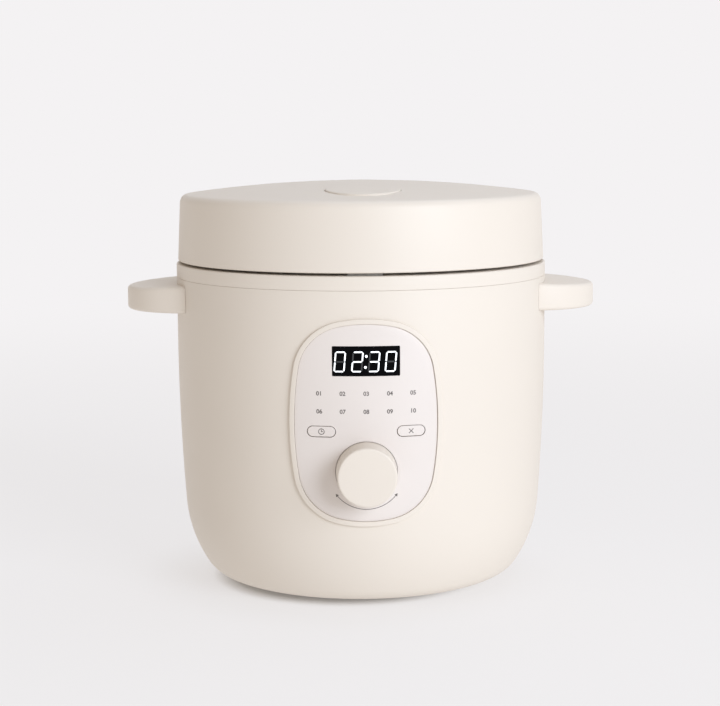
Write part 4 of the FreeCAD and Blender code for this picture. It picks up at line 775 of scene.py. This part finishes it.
def repeated(name, shape, look, count, reach, turn=0.0, ring=True):
    """Copies of a shape made by a node tree, on a ring about Z or in a row along X about the middle."""
    def copies(tree, given):
        spread = tree.nodes.new("GeometryNodeMeshCircle" if ring else "GeometryNodeMeshLine")
        spin = tree.nodes.new("ShaderNodeCombineXYZ")
        put = tree.nodes.new("GeometryNodeTransform")
        source = tree.nodes.new("GeometryNodeObjectInfo")
        each = tree.nodes.new("GeometryNodeInstanceOnPoints")
        if ring:
            tree.links.new(given["Count"], spread.inputs["Vertices"])
            tree.links.new(given["Reach"], spread.inputs["Radius"])
        else:
            pitch = tree.nodes.new("ShaderNodeCombineXYZ")
            tree.links.new(given["Count"], spread.inputs["Count"])
            tree.links.new(given["Reach"], pitch.inputs["X"])
            tree.links.new(pitch.outputs["Vector"], spread.inputs["Offset"])
        tree.links.new(given["Turn"], spin.inputs["Z"])
        tree.links.new(spread.outputs["Mesh"], put.inputs["Geometry"])
        tree.links.new(spin.outputs["Vector"], put.inputs["Rotation"])
        tree.links.new(given["Shape"], source.inputs["Object"])
        tree.links.new(put.outputs["Geometry"], each.inputs["Points"])
        tree.links.new(source.outputs["Geometry"], each.inputs["Instance"])
        return each.outputs["Instances"]

    piece = bpy.data.objects.new(name, bpy.data.meshes.new(name))
    bpy.context.collection.objects.link(piece)
    sizes = (("Count", "NodeSocketInt", count), ("Reach", "NodeSocketFloat", reach * mm),
             ("Turn", "NodeSocketFloat", math.radians(turn)), ("Shape", "NodeSocketObject", shape))
    by_nodes(piece, look, sizes, copies)
    if not ring:
        piece.data.transform(Matrix.Translation((-reach * (count - 1) / 2 * mm, 0, 0)))
    bpy.data.objects.remove(shape)
    return piece


def slot_shape(width, length, y, low, high):
    """A slot with round ends along Y, as the shape of a cutter."""
    half = width / 2
    run = length / 2 - half
    outline = []
    for shift, first in ((run, 0), (-run, math.pi)):
        turns = [first + math.pi * k / 8 for k in range(9)]
        outline += [(half * math.cos(turn), y + shift + half * math.sin(turn)) for turn in turns]
    return lofted("slot", [[(a, b, z) for a, b in outline] for z in (low, high)])


vent = dome_cap("vent_cover", vent_y, vent_radius, vent_proud, vent_foot)
cut(vent, rod(vent_radius - vent_wall, vent_foot + vent_wall, vent_roof, 96, vent_axis))
pipe = softened([(0, pipe_tip), (pipe_radius, pipe_tip, pipe_round), (pipe_radius, pipe_top), (0, pipe_top)])
cut(vent, turned("cutter", pipe, 72, vent_axis), how="UNION")
cut(vent, rod(vent_bore, lid_span[0], vent_roof - 1, 48, vent_axis))
outlet = slot_shape(*outlet_size, vent_y, vent_roof - 0.5, lid_span[1])
cut(vent, repeated("outlets", outlet, cream_abs, outlet_count, outlet_pitch, ring=False))
place_piece(vent, "vent_cap", cream_abs, "body_plastic", "vent_cap")

# Inner pot: a bowl drawn from aluminium sheet with a rolled rim, coated inside and out with dark non-stick.
# It hangs by its rim on the collar and stands on the heating plate.
pot_inner = 78.0
pot_sheet = 1.6
pot_outer = pot_inner + pot_sheet
pot_foot = 59.0
pot_floor = pot_foot + pot_sheet
pot_corner = 18.0
pot_rim = (shelf[1], 175.0)
pot_rim_radius = 84.6
pot_rim_round = 0.9
pot_neck_round = 1.2
nonstick = finish("nonstick", (0.045, 0.045, 0.047), 0.38, drift=0.35, cloud=420.0, grain=1500.0, depth=0.12,
                  patchy=0.08)
pot = turned("pot", softened([
    (0, pot_foot), (pot_outer, pot_foot, pot_corner), (pot_outer, pot_rim[0], pot_neck_round),
    (pot_rim_radius, pot_rim[0], pot_rim_round), (pot_rim_radius, pot_rim[1], pot_rim_round),
    (pot_inner, pot_rim[1], pot_rim_round), (pot_inner, pot_floor, pot_corner - pot_sheet),
    (0, pot_floor)]), 200)
place_piece(pot, "cooker_body", nonstick, "nonstick", "inner_pot")

# Water marks: level lines and numbers on the inside of the pot's back wall, read from the front.
# They are screened in pale ink on the coating.
mark_start = 84.0
mark_pitch = 17.0
mark_half = 0.35
mark_ends = (-8, 4)
mark_step = 2
mark_number_x = 8.0
mark_number_height = 4.6
pale_ink = finish("pale_ink", (0.55, 0.55, 0.54), 0.6, depth=0.0)


def on_pot(outline, offset):
    """Points in arc length and height on the inside of the pot's back wall."""
    reach = pot_inner - offset
    return [(reach * math.sin(a / pot_inner), reach * math.cos(a / pot_inner), z) for a, z in outline]


marks = []
for level in range(1, 5):
    height = mark_start + mark_pitch * level
    low = height - mark_half
    high = height + mark_half
    for a in range(*mark_ends, mark_step):
        marks.append([(a, low), (a + mark_step, low), (a + mark_step, high), (a, high)])
    marks += numeral(str(level), mark_number_x, height, mark_number_height)
printed("water_marks", marks, 0.0, pale_ink, "cooker_body", "nonstick", 0.1, on_pot)

# Inner lid: a dished plate of spun aluminium with a steam hole under the vent.
# The silicone plug in its middle holds it up, so that it pulls off for washing.
dish_sheet = 0.8
dish = ((4.2, 173.6), (71.6, 173.6, 2.0), (75.6, 176.6, 2.0), (82.6, 176.6, 0.3))
dish_top = [(radius, height + dish_sheet, *rounding) for radius, height, *rounding in dish[::-1]]
spun = finish("spun_aluminium", (0.80, 0.80, 0.79), 0.34, drift=0.03, grain=1800.0, depth=0.05, patchy=0.06,
              Metallic=1.0)
inner_lid = turned("inner_lid_plate", softened([*dish, *dish_top]), 200)
cut(inner_lid, rod(vent_bore, *lid_span, 40, vent_axis))
place_piece(inner_lid, "lid", spun, "aluminium", "inner_lid")

# Lid seal: a ring moulded in milky silicone, with a groove that hugs the inner lid's rim.
# It meets the pot's rim when the lid is closed.
seal_inner = 79.6
seal_outer = 85.4
seal_foot = 175.3
seal_top = 179.2
groove_radius = 82.7
groove_foot = dish[-1][1]
groove_top = groove_foot + dish_sheet
silicone = finish("silicone", (0.74, 0.74, 0.71), 0.5, depth=0.04, Subsurface_Weight=0.15,
                  Subsurface_Radius=(0.004, 0.004, 0.003))
seal = turned("seal_ring", softened([
    (seal_inner, seal_foot, 0.5), (seal_outer, seal_foot, 0.6), (seal_outer, seal_top, 0.4),
    (seal_inner, seal_top, 0.4), (seal_inner, groove_top), (groove_radius, groove_top),
    (groove_radius, groove_foot), (seal_inner, groove_foot)]), 200)
place_piece(seal, "lid", silicone, "silicone", "lid_gasket")

# Plug: a flat button of the same silicone in the middle of the inner lid.
# It is pushed over the lid liner's stud and so holds the inner lid up.
plug_radius = 9.0
plug_foot = 171.2
plug_floor = 172.4
plug_top = dish[0][1]
stud_radius = 4.0
plug = turned("lid_knob_plug", softened([
    (0, plug_foot), (plug_radius, plug_foot, 0.9), (plug_radius, plug_top, 0.2),
    (stud_radius, plug_top), (stud_radius, plug_floor), (0, plug_floor)]), 96)
place_piece(plug, "lid", silicone, "silicone", "lid_plug")

# Hinge bracket: a block of cream ABS screwed to the bowl's back from inside.
# Its two ears hold the lid's steel pin, and the lid's knuckle and spring lie in the gap between them.
hinge_y = 108.8
hinge_z = 184.5
knuckle = 5.6
bracket_half = 28.0
bracket_foot = 151.4
bracket_back = 94.0
bracket_bend = 169.4
bracket_gap = 15.0
bracket_gap_floor = 178.4
ear_turns = [math.pi * k / 24 for k in range(25)]
arch = [(hinge_y + knuckle * math.cos(turn), hinge_z + knuckle * math.sin(turn)) for turn in ear_turns]
side_view = softened([(bracket_back, bracket_foot), (body_radius, bracket_foot, 1.5),
                      (hinge_y + knuckle, bracket_bend, 5.0), *arch, (hinge_y - knuckle, deck),
                      (bracket_back, deck)])
bracket = lofted("hinge_block", [[(x, y, z) for y, z in side_view] for x in (-bracket_half, bracket_half)])
cut(bracket, rod(wall_seat, bracket_foot - 10, deck + 0.05, body_turns),
    block((-bracket_gap, bracket_gap), (inside, beyond), (bracket_gap_floor, lid_span[1])))
soften = bracket.modifiers.new("edges", "BEVEL")
soften.width = 0.6 * mm
soften.segments = 3
soften.limit_method = "ANGLE"
soften.angle_limit = math.radians(40)
settle(bracket)
place_piece(bracket, "cooker_body", cream_abs, "body_plastic", "hinge_bracket")

# Springs: a torsion spring round the hinge pin, one under the latch lever and one under the sensor.
# All are wound from bright steel wire with straight tails; the last two are pressed shorter in use, and each
# is given a mesh of its own.
steel = finish("bright_steel", (0.60, 0.60, 0.59), 0.28, drift=0.05, depth=0.03, patchy=0.06, Metallic=1.0)


def wound(name, radius, wire, turns, height, leg, place, steps=28):
    """A wire spring about Z: its path is drawn here and a node tree draws the tube along it."""
    rise = height / (turns * math.tau)
    path = []
    for step in range(round(turns * steps) + 1):
        turn = step * math.tau / steps
        path.append(Vector((radius * math.cos(turn), radius * math.sin(turn), rise * turn)))
    tails = []
    for turn, sense in ((0, -1), (turns * math.tau, 1)):
        way = Vector((-radius * math.sin(turn), radius * math.cos(turn), rise)).normalized()
        tails.append(way * sense * leg)
    path = [path[0] + tails[0]] + path + [path[-1] + tails[1]]
    line = bpy.data.meshes.new(name)
    line.from_pydata([(place @ point) * mm for point in path], [(k, k + 1) for k in range(len(path) - 1)], [])
    piece = bpy.data.objects.new(name, line)
    bpy.context.collection.objects.link(piece)

    def tube(tree, given):
        curve = tree.nodes.new("GeometryNodeMeshToCurve")
        circle = tree.nodes.new("GeometryNodeCurvePrimitiveCircle")
        circle.inputs["Resolution"].default_value = 14
        drawn = tree.nodes.new("GeometryNodeCurveToMesh")
        drawn.inputs["Fill Caps"].default_value = True
        tree.links.new(given["Geometry"], curve.inputs["Mesh"])
        tree.links.new(given["Wire radius"], circle.inputs["Radius"])
        tree.links.new(curve.outputs["Curve"], drawn.inputs["Curve"])
        tree.links.new(circle.outputs["Curve"], drawn.inputs["Profile Curve"])
        return drawn.outputs["Mesh"]

    by_nodes(piece, steel, (("Wire radius", "NodeSocketFloat", wire / 2 * mm),), tube)
    return piece


hinge_axis = Matrix.Translation((0, hinge_y, hinge_z)) @ Matrix.Rotation(math.pi / 2, 4, "Y")
lid_spring = wound("lid_spring", radius=2.8, wire=1.0, turns=4.5, height=9.0, leg=5.0,
                   place=hinge_axis @ Matrix.Translation((0, 0, -4.5)))
place_piece(lid_spring, "cooker_body", steel, "steel", "hinge_spring")
hook_spring = wound("hook_spring", radius=3.4, wire=0.8, turns=4, height=9.8, leg=0.8,
                    place=Matrix.Translation((0, -71.0, 182.0)))
place_piece(hook_spring, "lid", steel, "steel", "latch_spring")
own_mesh(hook_spring)
probe_spring = wound("probe_spring", radius=6.4, wire=1.0, turns=4, height=8.9, leg=1.0,
                     place=Matrix.Translation((0, 0, 47.3)))
place_piece(probe_spring, "cooker_body", steel, "steel", "sensor_spring")
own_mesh(probe_spring)

# Mains inlet: a socket of black plastic with a rounded flange, clipped into the bowl's back.
# Its mouth has two slanted corners, so that the plug goes in one way only.
inlet_corner = 2.0
inlet_insets = ((0.0, 84.1), (0.0, 99.3), (0.25, 99.85), (0.8, 100.1))
mouth_half = 12.2
mouth_top = 8.3
mouth_slant = 4.0
mouth_floor = 87.6
black = finish("black_plastic", (0.022, 0.022, 0.023), 0.45, drift=0.1, depth=0.06)
inlet_rings = []
for inset, y in inlet_insets:
    outline = rectangle(inlet_half[0] - inset, inlet_half[1] - inset, inlet_corner)
    inlet_rings.append([(x, y, z + inlet_z) for x, z in outline])
inlet = lofted("inlet_socket", inlet_rings)
slant_x = mouth_half - mouth_slant
slant_z = mouth_top - mouth_slant
mouth = softened([(-mouth_half, -mouth_top, 1.0), (mouth_half, -mouth_top, 1.0), (mouth_half, slant_z, 0.8),
                  (slant_x, mouth_top, 0.8), (-slant_x, mouth_top, 0.8), (-mouth_half, slant_z, 0.8)])
cut(inlet, pushed([(x, z + inlet_z) for x, z in mouth], mouth_floor, beyond))
place_piece(inlet, "cooker_body", black, "black_plastic", "power_inlet")

# Base cover: a disc of cream ABS, a shade darker and rougher, with a row of air slots.
# It is moulded flat and closes the bowl's foot, held by four screws.
cover_radius = base_radius - 0.2
cover_top = body_foot + body_wall
air_slot_size = (2.6, 34.0)
air_slot_y = -26.0
air_slot_count = 7
air_slot_pitch = 7.0
base_abs = finish("base_abs", (0.70, 0.645, 0.575), 0.55, depth=0.12)
base = turned("base_plate", softened([
    (0, body_foot), (cover_radius, body_foot, 0.5), (cover_radius, cover_top), (0, cover_top)]), 160)
air_slot = slot_shape(*air_slot_size, air_slot_y, body_foot - 2, cover_top + 2)
cut(base, repeated("air_slots", air_slot, base_abs, air_slot_count, air_slot_pitch, ring=False))
place_piece(base, "cooker_body", base_abs, "liner_plastic", "base_cover")

# Screws: pan heads of bright steel with a cross recess, formed cold and driven in from below.
# Four hold the base cover and four more the lid liner, each set on a ring.
screw_radius = 2.9
screw_height = 1.8
screw_round = 0.7
shank_radius = 1.5
shank_end = 7.0
recess_half = (1.7, 0.35)
recess_depth = 0.9
screw_rings = (("base_screw_heads", "cooker_body", "base_screws", 2.2, 62.0),
               ("lid_screw_heads", "lid", "lid_screws", 179.2, 91.0))


def screw_head(low):
    """A pan head that faces down, with its recess and a short shank."""
    top = low + screw_height
    head = turned("screw", softened([
        (0, low), (screw_radius, low, screw_round), (screw_radius, top), (shank_radius, top),
        (shank_radius, low + shank_end), (0, low + shank_end)]), 32)
    for x, y in (recess_half, recess_half[::-1]):
        cut(head, block((-x, x), (-y, y), (low - 1, low + recess_depth)))
    return head


for name, body, node, low, ring_radius in screw_rings:
    heads = repeated(name, screw_head(low), steel, 4, ring_radius, turn=45)
    place_piece(heads, body, steel, "steel", node)

# Feet: four round pads of grey rubber with a grip groove in their soles.
# Their barbed stems are pulled through the base cover.
foot_ring = 50.0
sole = [(0, 0.0), (4.6, 0.0, 0.15), (4.9, 0.5, 0.1), (5.6, 0.5, 0.1), (5.9, 0.0, 0.15), (8.0, 0.0, 1.0)]
barb = [(8.0, 4.0, 0.3), (2.5, 4.0), (2.5, 6.4), (3.6, 6.4), (2.5, 8.0), (0, 8.0)]
rubber = finish("foot_rubber", (0.23, 0.22, 0.21), 0.75, drift=0.08, depth=0.2)
pad = turned("foot", softened(sole + barb), 64)
pads = repeated("foot_pads", pad, rubber, 4, foot_ring, turn=45)
place_piece(pads, "cooker_body", rubber, "foot_rubber", "feet")

# Inner works: liners, boards, pins and steel that the shell hides or that show only with the lid open.
# They keep their CAD shapes and get the finish of the material they are made of.
liner_abs = finish("liner_abs", (0.72, 0.66, 0.585), 0.5, depth=0.08)
board_green = finish("solder_mask", (0.02, 0.13, 0.06), 0.3, drift=0.2, cloud=60.0, depth=0.1)
brass = finish("pin_brass", (0.66, 0.52, 0.27), 0.3, drift=0.06, depth=0.03, Metallic=1.0)
works = {"liner_plastic": liner_abs, "display": smoked, "black_plastic": black, "circuit_board": board_green,
         "silicone": silicone, "aluminium": spun, "steel": steel, "brass": brass, "body_plastic": cream_abs,
         "panel_plastic": rosy_abs}
for part in frame["record"]["subparts"]:
    node = frame["nodes"][part["node"]]
    if part["material_slot"] in works:
        node.data.materials.clear()
        node.data.materials.append(works[part["material_slot"]])

# Camera and light: the photograph's viewpoint, a big soft key from the right, a weak fill and a top light.
# The object stands on a white paper sweep that carries its shadow; round its foot the sweep's glow is dimmed
# in a ring centred a little to the left, which adds painted contact shade to the real shadow.
camera_place = (-0.0234, -0.9997, 0.2593)
camera_pan = math.radians(1.3)
camera_dip = 0.1336
camera_roll = -0.00607
lamps = (("key", (1.02, -1.4, 0.66), 0.95, 21.5, (0.93, 1.02, 1.16)),
         ("fill", (-1.3, -0.9, 0.7), 1.2, 1.5, (1.0, 0.93, 0.85)),
         ("top", (0.2, 0.5, 1.7), 1.4, 6.6, (0.9, 1.08, 1.36)))
lamp_target = Vector((0, 0, 0.1))
white_wall = (0.905, 0.888, 0.896, 1)
room_light = (0.402, 0.356, 0.314, 1)
paper_colour = (0.87, 0.86, 0.84, 1)
sweep_reach = 1.5
sweep_half = 6
# Painted contact shade: the sweep's glow share is low just round the foot and rises outwards, and its ring is
# centred a little to the left, towards the side in shade.
shadow_middle = (0.009, 0.002, 0)
contact_shade_glow_shares = ((0.043, 0.1), (0.052, 0.66), (0.085, 0.77))


def aimed(place, way):
    """A place with a turn that looks along a way."""
    return Matrix.Translation(place) @ way.to_track_quat("-Z", "Y").to_matrix().to_4x4()


camera_data = bpy.data.cameras.new("camera")
camera_data.lens = 89.6
camera_data.sensor_width = 36.0
camera = bpy.data.objects.new("camera", camera_data)
bpy.context.collection.objects.link(camera)
look_way = Vector((math.sin(camera_pan) * math.cos(camera_dip), math.cos(camera_pan) * math.cos(camera_dip),
                   -math.sin(camera_dip)))
camera.matrix_world = aimed(camera_place, look_way) @ Matrix.Rotation(camera_roll, 4, "Z")
bpy.context.scene.camera = camera
bpy.context.scene.view_settings.view_transform = "Standard"

for name, place, size, watts, tint in lamps:
    lamp_data = bpy.data.lights.new(name, "AREA")
    lamp_data.size = size
    lamp_data.energy = watts
    lamp_data.color = tint
    lamp = bpy.data.objects.new(name, lamp_data)
    bpy.context.collection.objects.link(lamp)
    lamp.matrix_world = aimed(place, lamp_target - Vector(place))

world = bpy.data.worlds.new("studio")
bpy.context.scene.world = world
world.use_nodes = True
nodes = world.node_tree.nodes
links = world.node_tree.links
ray = nodes.new("ShaderNodeLightPath")
seen = nodes.new("ShaderNodeMath")
seen.operation = "MAXIMUM"
seen_too = nodes.new("ShaderNodeMath")
seen_too.operation = "MAXIMUM"
backdrop = nodes.new("ShaderNodeMix")
backdrop.data_type = "RGBA"
backdrop.inputs[6].default_value = room_light
backdrop.inputs[7].default_value = white_wall
links.new(ray.outputs["Is Camera Ray"], seen.inputs[0])
links.new(ray.outputs["Is Glossy Ray"], seen.inputs[1])
links.new(seen.outputs[0], seen_too.inputs[0])
links.new(ray.outputs["Is Transmission Ray"], seen_too.inputs[1])
links.new(seen_too.outputs[0], backdrop.inputs[0])
links.new(backdrop.outputs[2], nodes["Background"].inputs["Color"])

floor_mesh = bpy.data.meshes.new("floor")
floor_mesh.from_pydata([(x * sweep_half, y * sweep_half, 0) for x, y in ((-1, -1), (1, -1), (1, 1), (-1, 1))],
                       [], [(0, 1, 2, 3)])
floor = bpy.data.objects.new("floor", floor_mesh)
bpy.context.collection.objects.link(floor)
floor_look = bpy.data.materials.new("floor_sweep")
floor_look.use_nodes = True
nodes = floor_look.node_tree.nodes
links = floor_look.node_tree.links
paper = nodes["Principled BSDF"]
paper.inputs["Base Color"].default_value = paper_colour
paper.inputs["Roughness"].default_value = 0.9
paper.inputs["Specular IOR Level"].default_value = 0.1
glow = nodes.new("ShaderNodeEmission")
glow.inputs["Color"].default_value = white_wall
where = nodes.new("ShaderNodeTexCoord")
lee = nodes.new("ShaderNodeMapping")
lee.inputs["Location"].default_value = shadow_middle
distance = nodes.new("ShaderNodeVectorMath")
distance.operation = "LENGTH"
near = nodes.new("ShaderNodeMath")
near.operation = "DIVIDE"
near.inputs[1].default_value = sweep_reach
# Painted contact shade: close to the foot the glow gives way to the paper, so the floor is darker there than
# farther out.
contact_shade_ramp = nodes.new("ShaderNodeValToRGB")
contact_shade_ramp.color_ramp.interpolation = "EASE"
stops = contact_shade_ramp.color_ramp.elements
stops[0].position = contact_shade_glow_shares[0][0]
stops[0].color = (*[contact_shade_glow_shares[0][1]] * 3, 1)
for position, share in contact_shade_glow_shares[1:]:
    stops.new(position).color = (share, share, share, 1)
blend = nodes.new("ShaderNodeMixShader")
links.new(where.outputs["Object"], lee.inputs["Vector"])
links.new(lee.outputs["Vector"], distance.inputs[0])
links.new(distance.outputs["Value"], near.inputs[0])
links.new(near.outputs["Value"], contact_shade_ramp.inputs["Fac"])
links.new(contact_shade_ramp.outputs["Color"], blend.inputs["Fac"])
links.new(paper.outputs["BSDF"], blend.inputs[1])
links.new(glow.outputs["Emission"], blend.inputs[2])
links.new(blend.outputs["Shader"], nodes["Material Output"].inputs["Surface"])
floor_mesh.materials.append(floor_look)
